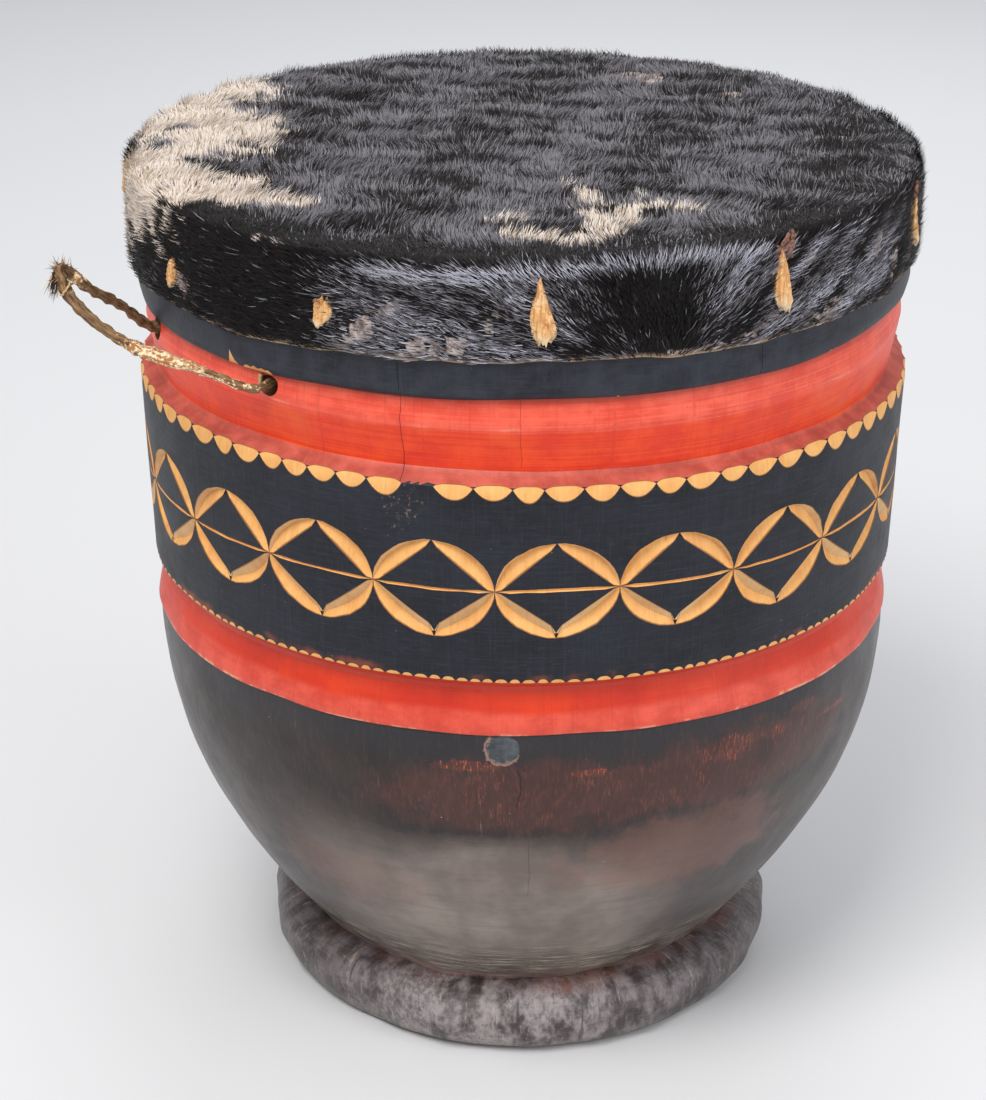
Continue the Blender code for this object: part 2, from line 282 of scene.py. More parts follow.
def rawhide_finish():
    hide = Finish("dried_rawhide", Specular_IOR_Level=0.3)
    strip = hide.node("ShaderNodeUVMap", {"uv_map": "OFBake"})
    strands = hide.noise(hide.stretch(strip, 22, 12, 1), 1.0, 5, 0.75)
    blotch = hide.noise(hide.stretch(strip, 60, 4, 1), 1.0, 4, 0.65)
    fine = hide.noise(hide.place, 700, 3, 0.6)
    brown = hide.mix(hide.rise(strands, 0.34, 0.66), srgb(62, 42, 28), srgb(158, 122, 84))
    brown = hide.mix(hide.rise(blotch, 0.56, 0.68) * 0.7, brown, srgb(98, 62, 38))
    pale = hide.mix(
        hide.rise(strands + (fine - 0.5) * 0.6, 0.44, 0.60), srgb(172, 112, 60), srgb(250, 230, 192)
    )
    raw = hide.rise(hide.attribute("raw") + (blotch - 0.5) * 1.6 + (fine - 0.5) * 0.5, 0.45, 0.58)
    colour = hide.mix(raw, brown, pale)
    return hide.surface(colour, 0.55 + strands * 0.3, strands * 0.7 + blotch * 0.3, 0.0009)


mouths = [outwards(b) * NECK_RADIUS + Vector((0, 0, HOLE_HEIGHT)) for b in HOLE_BEARINGS]
inner_ends = [
    outwards(b) * (HOLLOW_RADIUS - 0.003) + Vector((0, 0, HOLE_HEIGHT - 0.0005)) for b in HOLE_BEARINGS
]
THONG_STEP = 0.0008
THONG_SIDES = 18
thong_route = even_route([inner_ends[0], mouths[0], *LOOP_ROUTE, mouths[1], inner_ends[1]], THONG_STEP)
thong_run = np.linspace(0.0, 1.0, len(thong_route))
# Thickness along the strip: thin at the front hole, thick where it is rubbed raw, lumpy behind the fold.
THONG_THICKNESS = [
    (0.0, 0.0021), (0.09, 0.0021), (0.20, 0.0019), (0.26, 0.0026), (0.31, 0.0033), (0.36, 0.0030),
    (0.42, 0.0025),
    (0.50, 0.0026), (0.56, 0.0029), (0.60, 0.0030), (0.63, 0.0021), (0.67, 0.0029), (0.72, 0.0022),
    (0.77, 0.0026),
    (0.82, 0.0021), (0.88, 0.0026), (1.0, 0.0024),
]
THONG_RAW = [
    (0.0, 0.1), (0.06, 0.3), (0.12, 0.42), (0.2, 0.55), (0.25, 0.8), (0.31, 0.82), (0.37, 0.62), (0.41, 0.3),
    (0.47, 0.08), (0.53, 0.05), (0.56, 0.45), (0.59, 0.15), (0.64, 0.1), (0.67, 0.7), (0.70, 0.25),
    (0.78, 0.15), (1.0, 0.0),
]
random_thong = np.random.default_rng(11)


def ease(value, low, high):
    """0 below low, 1 above high, and smooth between them."""
    share = np.clip((np.asarray(value, float) - low) / (high - low), 0, 1)
    return share * share * (3 - 2 * share)


thong_angles = np.linspace(0, 2 * math.pi, THONG_SIDES, endpoint=False)
thong_reach = np.interp(thong_run, *zip(*THONG_THICKNESS))[:, None] * np.ones(THONG_SIDES)
twist = thong_run[:, None] * 2 * math.pi * 13
twisted = 0.07 + 0.10 * ease(thong_run[:, None], 0.52, 0.64)  # the rear strand is twisted harder
thong_reach *= (
    1 + twisted * np.cos(2 * (thong_angles[None] - twist))
    + 0.05 * np.cos(5 * thong_angles[None] + twist * 0.2)
)
knobs = random_thong.normal(0, 1, (len(thong_route), THONG_SIDES))
for _ in range(3):
    knobs = (
        knobs + np.roll(knobs, 1, 1) + np.roll(knobs, -1, 1) + np.roll(knobs, 1, 0) + np.roll(knobs, -1, 0)
    ) / 5
thong_reach *= 1 + 0.24 * knobs
thong_raw = np.interp(thong_run, *zip(*THONG_RAW))
thong_reach += (thong_raw > 0.6)[:, None] * 0.0012 * np.clip(knobs, 0, None)
rawhide = rawhide_finish()
thong = tube("carrying_thong", thong_route, thong_reach, THONG_SIDES, rawhide)
keep_on_points(thong, "raw", [*np.repeat(thong_raw, THONG_SIDES), 0.0, 0.0])

# The thong's ends are knotted inside the log, each a fist of the same strip pulled tight.
KNOT_RADIUS = 0.0058
for knot_name, bearing, node in zip(
    ("knot_front", "knot_rear"), HOLE_BEARINGS, ("loop_knot_front", "loop_knot_rear")
):
    centre = outwards(bearing) * (HOLLOW_RADIUS - 0.0062) + Vector((0, 0, HOLE_HEIGHT))
    out = outwards(bearing)
    side = Vector((0, 0, 1)).cross(out)
    turns = np.linspace(0.0, 2 * math.pi, 90)
    wind = [
        centre + side * (KNOT_RADIUS * (0.62 + 0.28 * math.cos(3 * t)) * math.cos(2 * t))
        + Vector((0, 0, 1)) * (KNOT_RADIUS * (0.62 + 0.28 * math.cos(3 * t)) * math.sin(2 * t))
        + out * (KNOT_RADIUS * 0.38 * math.sin(3 * t))
        for t in turns[:-1]
    ]
    knot_route = even_route(wind, 0.0012)
    knot_reach = np.full((len(knot_route), 10), 0.0022)
    knot = tube(knot_name, knot_route, knot_reach, 10, rawhide)
    keep_on_points(knot, "raw", np.full(len(knot.data.vertices), 0.15))
    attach(knot, "drum")
    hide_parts(node)

# A turn of twine ties the strip to itself below the fold, and its two ends stick out.
twine_finish = Finish("sisal_twine", Roughness=0.8)
twine_lay = twine_finish.noise(twine_finish.place, 1400, 2)
twine = twine_finish.surface(
    twine_finish.mix(twine_lay, srgb(150, 118, 72), srgb(226, 200, 150)), None, twine_lay, 0.0003
)
tie_at = np.array(sum(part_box("loop_whipping"), Vector()) / 2)
nearest = int(np.argmin(np.linalg.norm(thong_route - tie_at, axis=1)))
forward, across, up = carried_frames(thong_route)
winding = []
for t in np.linspace(-0.2, 1.3, 44):
    angle = 2 * math.pi * t
    along = nearest + (t - 0.5) * 2.0 + 2.6 * math.cos(angle)
    i = int(round(np.clip(along, 0, len(thong_route) - 1)))
    slack = 0.0014 * (max(0, -t) + max(0, t - 1.08)) * 9
    winding.append(
        thong_route[i] + (across[i] * math.cos(angle) + up[i] * math.sin(angle)) * (0.0033 + slack)
    )
tie_route = even_route(winding, 0.0008)
tie = tube("twine_tie", tie_route, np.full((len(tie_route), 8), 0.00055), 8, twine)
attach(tie, "carrying_loop")
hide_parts("loop_whipping")

# A splinter of raw wood is pressed in beside the strip at the front hole.
splinter_side = Vector((0, 0, 1)).cross(outwards(HOLE_BEARINGS[0]))
splinter_foot = mouths[0] - outwards(HOLE_BEARINGS[0]) * 0.0004 - splinter_side * 0.0046
splinter_route = even_route(
    [splinter_foot + Vector((0, 0, z)) + splinter_side * z * 0.12 for z in (-0.0042, 0.0, 0.0042)], 0.001
)
splinter_reach = (
    np.linspace(0.0007, 0.0010, len(splinter_route))[:, None] * (1 + 0.3 * np.sin(np.arange(7) * 2.4))
)
splinter = tube("hole_splinter", splinter_route, splinter_reach, 7, twine)
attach(splinter, "drum")

# Where the strip is folded its end is frayed: loose fibres stand off it, some dark, some pale.
random_fray = np.random.default_rng(5)
fray_points, fray_faces, fray_slots = [], [], []
fold = int(np.argmin(np.linalg.norm(thong_route - np.array(LOOP_ROUTE[16]), axis=1)))
out_way = np.array((-0.8054, -0.5927, 0.0))


def fibre(start, heading, length, width, curl, slot_number):
    heading = heading / np.linalg.norm(heading)
    flat = np.cross(heading, random_fray.normal(0, 1, 3))
    flat /= np.linalg.norm(flat)
    base = len(fray_points)
    bend = np.cross(heading, flat) * curl
    for share, half in ((0.0, 1.0), (0.35, 0.8), (0.7, 0.5), (1.0, 0.12)):
        middle = start + heading * length * share + bend * share**2
        for way in (0.0, 2.1, 4.2):
            spoke = flat * math.cos(way) + np.cross(heading, flat) * math.sin(way)
            fray_points.append(middle + spoke * width * half)
    for ring in range(3):
        for k in range(3):
            a, b = base + ring * 3 + k, base + ring * 3 + (k + 1) % 3
            fray_faces.append((a, b, b + 3, a + 3))
            fray_slots.append(slot_number)
    fray_faces.extend([(base + 2, base + 1, base), (base + 9, base + 10, base + 11)])
    fray_slots.extend([slot_number, slot_number])


for _ in range(190):
    i = fold + int(random_fray.normal(0, 6))
    heading = out_way * random_fray.uniform(-0.2, 1.0) + np.array((0, 0, random_fray.normal(0.25, 0.6)))
    heading += random_fray.normal(0, 0.45, 3) + forward[i] * random_fray.normal(0, 0.7)
    start = thong_route[i] + random_fray.normal(0, 0.0009, 3)
    fibre(
        start, heading, random_fray.uniform(0.003, 0.0075), 0.00022, random_fray.normal(0, 0.0015),
        int(random_fray.random() < 0.35)
    )
for _ in range(70):  # the frayed end of the strip itself hangs below the fold
    i = fold - 3 + int(random_fray.normal(0, 1.5))
    heading = np.array((-0.15, -0.15, -1.0)) + random_fray.normal(0, 0.16, 3)
    start = thong_route[i] + out_way * 0.0022 + random_fray.normal(0, 0.0009, 3)
    fibre(
        start, heading, random_fray.uniform(0.004, 0.012), 0.00024, random_fray.normal(0, 0.0014),
        int(random_fray.random() < 0.15)
    )
dark_fibre = Finish("dark_fibre", Roughness=0.7, Base_Color=srgb(62, 42, 28)).material
pale_fibre = Finish("pale_fibre", Roughness=0.7, Base_Color=srgb(206, 172, 120)).material
fray = piece_from("frayed_fibres", fray_points, fray_faces, dark_fibre, pale_fibre)
fray.data.polygons.foreach_set("material_index", fray_slots)
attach(fray, "carrying_loop")

chord = (mouths[0] + mouths[1]) / 2
turn_start, turn_end = (chord + Vector(out_way) * reach for reach in (-0.004, 0.004))
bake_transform(thong)
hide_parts("loop_thong")

# ---------------------------------------------------------------------------------------------------------
# The log: one piece of hardwood, hollowed from above, with a ring foot. Its outside is painted black and red
# by hand, and the band is chip-carved through the paint, so that the cuts show the bare wood. The tool marks
# of the adze and the knife stay in every surface.
UNROLLED_RADIUS = 196.5  # the carving is set out on this radius, in millimetres
GOOD_SEAM = math.radians(-210.04)  # a touch of two eyes, with no peg or hole across it
AROUND = 2 * math.pi * UNROLLED_RADIUS
COLUMNS = 300
SHOULDER_Z, BAND_FOOT_Z, COLLAR_FOOT_Z = 348.7, 249.2, 391.5


def leaned(start, lean_a, lean_b, end, count):
    corners = [Vector((r, 0, z)) for r, z in (start, lean_a, lean_b, end)]
    return [(p.x, p.z) for p in interpolate_bezier(*corners, count)[1:]]


outside_line = [
    (184.7, 455.7), (193.0, 455.7), (195.4, 455.1), (197.1, 453.3), (197.7, 451.0), (197.7, 408.5),
    (197.5, 396.5),
    (196.7, 392.9), (195.5, COLLAR_FOOT_Z), (192.5, 391.1), (194.1, 380.0), (194.3, 378.0), (193.5, 373.5),
    (190.9, 362.0), (189.9, 354.5), (191.2, 352.7), (197.1, 349.9), (198.3, SHOULDER_Z), (196.7, 298.95),
    (195.1, BAND_FOOT_Z), (190.2, 244.6), (189.2, 241.7), (190.4, 236.5), (194.2, 224.6), (194.7, 222.2),
    (194.3, 220.0), (193.5, 219.2),
]
outside_line += leaned((193.5, 219.2), (198.0, 142.3), (156.9, 83.6), (118.9, 36.0), 34)
outside_line += leaned((118.9, 36.0), (129.9, 36.0), (138.8, 30.0), (138.8, 21.0), 7)
outside_line += leaned((138.8, 21.0), (138.8, 9.5), (132.5, 0.0), (126.5, 0.0), 8)
outside_line += [(72.0, 0.0)]
inside_line = [(72.0, 0.0), (55.0, 28.0), (55.0, 70.0)]
inside_line += leaned((55.0, 70.0), (120.0, 75.0), (181.7, 124.5), (181.7, 235.0), 14)
inside_line += [(181.7, 452.7), (184.7, 455.7)]


def bell(value, middle, width):
    return np.exp(-(((np.asarray(value, float) - middle) / width) ** 2))


def hand_work(bearing, height):
    """How far the knife left the surface from true, in millimetres outwards, at a bearing and a height."""
    waver = (
        0.45 * np.sin(3 * bearing + 0.9 + height / 61) + 0.35 * np.sin(5 * bearing + 2.1 - height / 43)
        + 0.28 * np.sin(9 * bearing + 4.0 + height / 27) + 0.22 * np.sin(14 * bearing + 1.3 - height / 19)
        + 0.15 * np.sin(23 * bearing + 0.4 + height / 11) + 0.10 * np.sin(31 * bearing - height / 7)
    )
    much = np.interp(
        height, [0, 3, 12, 30, 60, 200, 222, 236, 252, 345, 356, 385, 400, 409],
        [0, 1.1, 2.9, 2.4, 0.9, 0.9, 1.1, 1.0, 0.4, 0.4, 0.9, 0.9, 0.45, 0]
    )
    return waver * much


def line_waver(bearing, height):
    """How far the carved courses run up or down from level, in millimetres."""
    collar_foot = (
        -3.0 * bell(bearing, math.radians(-46), math.radians(27))
        + 1.9 * bell(bearing, math.radians(60), math.radians(24))
        + 0.45 * np.sin(7 * bearing) + 0.3 * np.sin(13 * bearing + 1)
    ) * np.interp(height, [384, 391, 397, 408], [0, 1, 0.8, 0])
    ridge = (0.8 * np.sin(2 * bearing + 1) + 0.5 * np.sin(6 * bearing)) * bell(height, 376, 5)
    moulding = (
        (0.9 * np.sin(3 * bearing + 2) + 0.55 * np.sin(8 * bearing) + 0.3 * np.sin(17 * bearing))
        * bell(height, 228, 14)
    )
    foot = (1.4 * np.sin(3 * bearing + 0.5) + 0.9 * np.sin(7 * bearing)) * bell(height, 34, 9)
    return collar_foot + ridge + moulding + foot


class Wall:
    """One face of the log's wall, unrolled flat: across is the way round, down is the way along its line."""

    def __init__(self, line):
        self.radii, self.heights = np.array(line, float).T
        steps = np.hypot(np.diff(self.radii), np.diff(self.heights))
        self.runs = np.concatenate([[0.0], np.cumsum(steps)])
        self.places, self.depths, self.rims, self.edges, self.outlines = [], [], [], [], []
        self.bores = []

    def down(self, height, after=0.0):
        """Where on the line a height is, past a given run."""
        for i in range(len(self.runs) - 1):
            a, b = sorted((self.heights[i], self.heights[i + 1]))
            if self.runs[i + 1] > after and a <= height <= b and b - a > 1e-6:
                share = (height - self.heights[i]) / (self.heights[i + 1] - self.heights[i])
                return self.runs[i] + share * (self.runs[i + 1] - self.runs[i])

    def line(self, places, depths=None, closed=False, rim=1.0):
        first = len(self.places)
        self.places += [tuple(p) for p in places]
        self.depths += [0.0] * len(places) if depths is None else list(depths)
        self.rims += [rim if depths is None else 0.0] * len(places)
        last = len(self.places) - 1
        self.edges += [(i, i + 1) for i in range(first, last)] + ([(last, first)] if closed else [])

    def cut(self, outline, valley=None, depths=None, rim=1.0):
        """A cut through the paint: its closed outline and the line of its deepest points."""
        self.line(outline, closed=True, rim=rim)
        self.outlines.append((np.array(outline), 1))
        if valley is not None:
            self.line(valley, depths)

    def shade(self, outline):
        """The face of a cut that looks down, coloured darker and greyer than the rest of the cut as painted shade."""
        self.outlines.append((np.array(outline), 3))

    def bore(self, outline, depth_in):
        """A hole: its outline at the surface, and the points that each outline point goes in to."""
        self.line(outline, closed=True)
        self.outlines.append((np.array(outline), 2))
        self.bores.append((np.array(outline), depth_in))

    def marks(self, points):
        """For each point, 0 on the plain surface, 1 in a cut, 2 in a hole, 3 in a cut's face that looks down, which
        gets painted shade.
        """
        found = np.zeros(len(points), int)
        for outline, mark in self.outlines:
            low, high = outline.min(0), outline.max(0)
            near = np.flatnonzero(((points >= low) & (points <= high)).all(1))
            if not len(near):
                continue
            x, y = points[near].T
            inside = np.zeros(len(near), bool)
            for (x1, y1), (x2, y2) in zip(outline, np.roll(outline, -1, 0)):
                crosses = (y1 > y) != (y2 > y)
                inside ^= crosses & (x < (x2 - x1) * (y - y1) / (y2 - y1 if y2 != y1 else 1e-12) + x1)
            found[near[inside]] = mark
        return found

    def mesh(self, row_step, column_skip, clear):
        """Triangles of the unrolled wall, through every line of the carving, with an even net between."""
        rows = [self.runs[0]]
        for a, b in zip(self.runs, self.runs[1:]):
            parts = max(1, math.ceil((b - a) / row_step - 0.01))
            rows += [a + (b - a) * (i + 1) / parts for i in range(parts)]
        rows = np.array(rows)
        columns = np.linspace(0, AROUND, COLUMNS + 1)
        border = [(x, rows[0]) for x in columns] + [(x, rows[-1]) for x in columns]
        border += [(x, y) for x in (0.0, AROUND) for y in rows[1:-1]]
        net = (
            np.array([(x, y) for j, y in enumerate(rows[1:-1]) for x in columns[1:-1][(j % 2) * (column_skip > 1) :: column_skip]])
        )
        if self.places:
            finder = finder_of(self.places)
            free = np.array([finder.find((x, y, 0))[2] > clear for x, y in net])
            net = net[free & (self.marks(net) == 0)]
        given = self.places + border + [tuple(p) for p in net]
        depths = np.array(self.depths + [0.0] * (len(given) - len(self.depths)))
        places, _, faces, sources, _, _ = delaunay_2d_cdt([Vector(p) for p in given], self.edges, [], 0, 1e-4)
        places = np.array([tuple(p) for p in places])
        depth = np.array([max([depths[i] for i in source], default=0.0) for source in sources])
        rims = self.rims + [0.0] * (len(given) - len(self.rims))
        rim = np.array([max([rims[i] for i in source], default=1.0) for source in sources])
        faces = np.array([f[::-1] for f in faces])
        flat = (np.ptp(places[faces], axis=1) < 1e-3).any(1)  # slivers along the border have no width
        faces = faces[~flat]
        return places, depth, rim, faces, self.marks(places[faces].mean(1))

    def lift(self, places, depth):
        """The wall's places back on the round log, in metres."""
        bearing = places[:, 0] / UNROLLED_RADIUS + GOOD_SEAM
        radius = np.interp(places[:, 1], self.runs, self.radii)
        height = np.interp(places[:, 1], self.runs, self.heights)
        radius = radius + self.hand(bearing, height) - depth
        height = height + self.waver(bearing, height)
        return np.stack([radius * np.sin(bearing), -radius * np.cos(bearing), height], 1) / 1000

    hand = staticmethod(hand_work)
    waver = staticmethod(line_waver)


def finder_of(places, first=0):
    """Finds places on the unrolled log again by where they are."""
    finder = KDTree(len(places))
    for i, (x, y) in enumerate(places):
        finder.insert((x, y, 0), first + i)
    finder.balance()
    return finder


def unrolled(bearing):
    return (bearing - GOOD_SEAM) % (2 * math.pi) * UNROLLED_RADIUS


outside, inside = Wall(outside_line), Wall(inside_line)
inside.hand = lambda bearing, height: hand_work(bearing + 1.7, height) * 0.8 * (np.abs(height - 456) > 5)
inside.waver = lambda bearing, height: 0.0 * bearing
random_carving = np.random.default_rng(21)

# Chip-carved eyes: 21 of them touch round the band. Each is four leaf cuts round a diamond of black paint, and
# a thin knife line runs from touch to touch through the middle.
EYES = 21
EYE_WIDTH = AROUND / EYES
EYE_LINE_Z = 297.3
EYE_ABOVE, EYE_BELOW = 25.2, 23.8
EYE_SHOULDER = 3.3  # how far in from a touch the diamond of paint begins
eye_line = outside.down(EYE_LINE_Z)
touch_offsets = random_carving.uniform(-0.7, 0.7, EYES)
for k in range(EYES):
    left = np.array((k * EYE_WIDTH, eye_line + touch_offsets[k]))
    right = np.array(((k + 1) * EYE_WIDTH, eye_line + touch_offsets[(k + 1) % EYES]))
    middle = (left + right) / 2
    for way, reach, width_at_tip, valley_at in ((-1, EYE_ABOVE, 1.5, 0.20), (1, EYE_BELOW, 5.0, 0.50)):
        reach = reach + random_carving.uniform(-1.3, 1.3)
        lean = random_carving.uniform(-1.6, 1.6)
        tip_out = middle + (lean, way * reach)
        tip_in = tip_out - (0, way * (width_at_tip + random_carving.uniform(-0.5, 0.7)))
        tip_low = tip_out * 0.55 + tip_in * 0.45
        for touch in (left, right):
            steps = np.linspace(0, 1, 12)[:, None]
            round_edge = (
                middle + (touch - middle) * np.cos(steps * math.pi / 2)
                + (tip_out - middle) * np.sin(steps * math.pi / 2)
            )
            outer = 0.95 * round_edge + 0.05 * (touch + (tip_out - touch) * steps)
            shoulder = touch + (EYE_SHOULDER * np.sign(middle[0] - touch[0]), way * 1.0)
            chord = shoulder + (tip_in - shoulder) * np.clip((steps - 0.09) / 0.91, 0, 1)
            bow = random_carving.uniform(-0.5, 0.4)
            normal = np.array((0.0, way * 1.0))
            inner = chord + normal * bow * np.sin(steps * math.pi)
            outer[1:-1] += random_carving.normal(0, 0.16, (10, 2))
            outer[0], outer[-1], inner[0], inner[-1] = touch, tip_out, touch, tip_in
            share = valley_at + random_carving.uniform(-0.07, 0.07)
            valley = outer + (inner - outer) * share
            valley[0], valley[-1] = touch, tip_low
            low = 3.3 * np.sin(np.clip(steps[:, 0] * 1.02, 0, 1) * math.pi) ** 0.7 + 0.35
            low[0], low[-1] = 0.4, 0.9
            outside.cut([*outer, *inner[-2:0:-1]], valley, low)
            # The face of each leaf cut that looks down is kept apart, to be coloured darker as painted shade.
            outside.shade([*valley, *(outer if way < 0 else inner)[-2:0:-1]])
    steps = np.linspace(0, 1, 9)[:, None]
    line_middle = left + (right - left) * steps
    line_middle[1:-1, 1] += random_carving.normal(0, 0.12, 7) + 0.5 * np.sin(steps[1:-1, 0] * math.pi) * random_carving.normal()
    half = (
        random_carving.uniform(0.62, 0.9) * np.clip(np.minimum(steps, 1 - steps) * 8.5, 0, 1)
        * (1 + random_carving.normal(0, 0.12, (9, 1)))
    )
    upper, lower = line_middle - half * (0, 1), line_middle + half * (0, 1)
    outside.cut([*upper, *lower[-2:0:-1]], line_middle, [0.4, *[0.9] * 7, 0.4])

# Scallops along the shoulder and small notches along the band's foot, each one chop of the chisel across the
# edge. One scallop was never cut.
NO_SCALLOP = unrolled(math.radians(-15.9))
for edge_z, count, width_share, spread, above, below, missing in (
    (SHOULDER_Z, 76, 1.0, 0.15, 2.1, 6.6, NO_SCALLOP), (BAND_FOOT_Z, 180, 0.88, 0.2, 1.7, 1.0, None)
):
    widths = 1 + random_carving.uniform(-spread, spread, count)
    ends = np.concatenate([[0.0], np.cumsum(widths)]) * AROUND / widths.sum()
    edge = outside.down(edge_z)
    for start, end in zip(ends, ends[1:]):
        if missing is not None and start < missing < end:
            continue
        middle, half = (start + end) / 2, (end - start) / 2 * width_share * random_carving.uniform(0.98, 1.0)
        across_steps = np.linspace(-1, 1, 9 if missing is None else 13)
        rise, fall = above * random_carving.uniform(0.8, 1.15), below * random_carving.uniform(0.85, 1.1)
        lean = random_carving.uniform(-0.12, 0.12)
        upper = [(middle + half * t, edge - rise * (1 - abs(t) ** 3)) for t in across_steps]
        lower = [
            (middle + half * t, edge + fall * (1 - abs(t) ** 2.2) * (1 + lean * t))
            for t in across_steps[-2:0:-1]
        ]
        hollow = [
            (middle + half * t, edge + (fall * (1 - abs(t) ** 2.2) - rise * (1 - abs(t) ** 3)) / 2)
            for t in across_steps[1:-1]
        ]
        outside.cut(upper + lower, hollow, [0.35] * len(hollow))

# Chips knocked off the collar's lower edge and off the shoulder, down to the bare wood.
collar_edge = outside.down(COLLAR_FOOT_Z)
SPLIT_OFF = [(-1, 0), (-0.55, -0.35), (-0.2, -1), (0.25, -0.7), (0.6, -0.4), (1, 0), (0.45, 0.8), (-0.3, 1)]
CRUMBLED = [
    (-1, 0), (-0.86, -0.6), (-0.6, -0.85), (-0.4, -0.62), (-0.12, -1), (0.1, -0.66), (0.35, -0.9),
    (0.6, -0.7), (0.8, -0.82),
    (1, 0), (0.45, 0.6), (-0.3, 0.7),
]
for bearing_deg, width, above, below in (
    (-44.4, 7.0, 7.0, 0.8), (-39.6, 19.0, 3.1, 1.2), (47.0, 3.5, 1.6, 0.8), (56.0, 5.0, 1.5, 0.8),
    (58.5, 3.2, 1.2, 0.6), (12.0, 2.4, 0.8, 0.5), (140.0, 5.0, 1.8, 0.9), (-120.0, 4.0, 1.4, 0.8),
):
    middle = unrolled(math.radians(bearing_deg))
    shape = CRUMBLED if width > 15 else SPLIT_OFF
    chip = [(middle + width / 2 * x, collar_edge + (above if y < 0 else below) * y) for x, y in shape]
    outside.cut(chip, [(middle, collar_edge)], [0.6], rim=0.4)

# Two holes for the carrying loop go through the neck, and a slot goes in for each peg.
for bearing in HOLE_BEARINGS:
    angles = np.linspace(0, 2 * math.pi, 24, endpoint=False)
    for wall in (outside, inside):
        x0, y0 = unrolled(bearing), wall.down(HOLE_HEIGHT * 1000, 300 if wall is inside else 0)
        turned_way = -1 if wall is inside else 1
        wide = HOLE_RADIUS * UNROLLED_RADIUS / (HOLLOW_RADIUS if wall is inside else NECK_RADIUS)
        tall = HOLE_RADIUS * 1000
        outline = [(x0 + wide * math.cos(a), y0 + turned_way * tall * math.sin(a)) for a in angles]
        wall.bore(outline, None)
peg_names = sorted(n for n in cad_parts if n.startswith("peg_"))
pegs = {}
for name in peg_names:
    low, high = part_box(name)
    place = (low + high) / 2
    pegs[name] = (math.atan2(place.x, -place.y), place.z, high.z - low.z)
    x0, y0 = unrolled(pegs[name][0]), outside.down(place.z * 1000)
    outline = [
        (x0 + 3.6 * math.cos(a), y0 + pegs[name][2] * 430 * math.sin(a)) for a in np.linspace(0, 2 * math.pi, 12, endpoint=False)
    ]
    outside.bore(outline, 15.0)

places, depth, rim, faces, marks = outside.mesh(4.2, 1, 2.0)
inner_places, inner_depth, inner_rim, inner_faces, inner_marks = inside.mesh(9.0, 3, 3.5)
points = [outside.lift(places, depth), inside.lift(inner_places, inner_depth)]
turned_down = np.concatenate([places[:, 1], inner_places[:, 1] + 900])
faces, inner_faces = faces[marks != 2], inner_faces[inner_marks != 2] + len(places)
marks = marks[marks != 2]
heights = points[0][faces][:, :, 2].mean(1) * 1000
downs = places[faces][:, :, 1].mean(1)
# Which coat each facet has: 0 black, 1 red, 2 bare carved wood, 3 stained bowl and foot, 4 the raw inside,
# 5 bare carved wood on a cut's face that looks down, darker and greyer: painted shade.
coats = np.zeros(len(faces), int)
coats[(downs > outside.down(391.2)) & (downs < outside.down(349.3))] = 1
coats[(downs > outside.down(BAND_FOOT_Z)) & (downs < outside.down(220.2))] = 1
coats[downs > outside.down(220.2)] = 3
coats[marks == 1] = 2
coats[marks == 3] = 5
points = np.concatenate(points)
all_faces = [tuple(f) for f in np.concatenate([faces, inner_faces])]
all_coats = [*coats, *[4] * len(inner_faces)]

# The holes' own walls. Points are found again by where they are on the unrolled log.
finders = finder_of(places), finder_of(inner_places, len(places))


def found(finder, outline):
    return [finder.find((x, y, 0))[1] for x, y in outline]


extra = []
for number, (outline, depth_in) in enumerate(outside.bores):
    mouth = found(finders[0], outline)
    if depth_in is None:
        far = found(finders[1], inside.bores[number][0])
    else:
        centre = points[mouth].mean(0)
        inward = -np.array((centre[0], centre[1], 0.0)) / np.hypot(*centre[:2])
        far = list(range(len(points) + len(extra), len(points) + len(extra) + len(mouth)))
        extra += [centre + (points[i] - centre) * 0.72 + inward * depth_in / 1000 for i in mouth]
        all_faces.append(tuple(far[::-1]))
        all_coats.append(4)
    count = len(mouth)
    for i in range(count):
        j = (i + 1) % count
        all_faces.append((mouth[i], mouth[j], far[j], far[i]))
        all_coats.append(4)
if extra:
    points = np.concatenate([points, np.array(extra)])
    turned_down = np.concatenate([turned_down, np.full(len(extra), 1000.0)])
cut_rim = np.concatenate([rim, inner_rim, np.zeros(len(extra))])
log = piece_from("carved_log", points, all_faces)
log.data.polygons.foreach_set("material_index", all_coats)
keep_on_points(log, "down", turned_down / 1000)
keep_on_points(log, "rim", cut_rim)
shape = bmesh.new()
shape.from_mesh(log.data)
bmesh.ops.remove_doubles(shape, verts=shape.verts, dist=1e-6)
shape.to_mesh(log.data)
shape.free()
log.data.shade_smooth()
log.data.set_sharp_from_angle(angle=math.radians(24))

# Where the finish is laid on: round the log at one radius, and down along its line, with no seam.
spots = np.empty(len(log.data.vertices) * 3)
log.data.vertices.foreach_get("co", spots)
spots = spots.reshape(-1, 3)
run_down = np.empty(len(spots))
log.data.attributes["down"].data.foreach_get("value", run_down)
spot_bearing = np.arctan2(spots[:, 0], -spots[:, 1])
keep_on_points(
    log, "wrap", np.stack([0.195 * np.sin(spot_bearing), -0.195 * np.cos(spot_bearing), run_down], 1)
)
corner = np.empty(len(log.data.loops), int)
log.data.loops.foreach_get("vertex_index", corner)
first_corner = np.empty(len(log.data.polygons), int)
log.data.polygons.foreach_get("loop_start", first_corner)
corner_count = np.diff([*first_corner, len(corner)])
turn = spot_bearing[corner] % (2 * math.pi) / (2 * math.pi)
across_face = np.repeat(
    np.maximum.reduceat(turn, first_corner) - np.minimum.reduceat(turn, first_corner), corner_count
)
turn = np.where((across_face > 0.5) & (turn < 0.5), turn + 1, turn) * 0.99
level = run_down[corner]
level = np.where(level < 0.89, level / 1.24 + 0.003, (level - 0.9) / 1.24 + 0.53)
unwrap = log.data.uv_layers.new(name="OFBake")
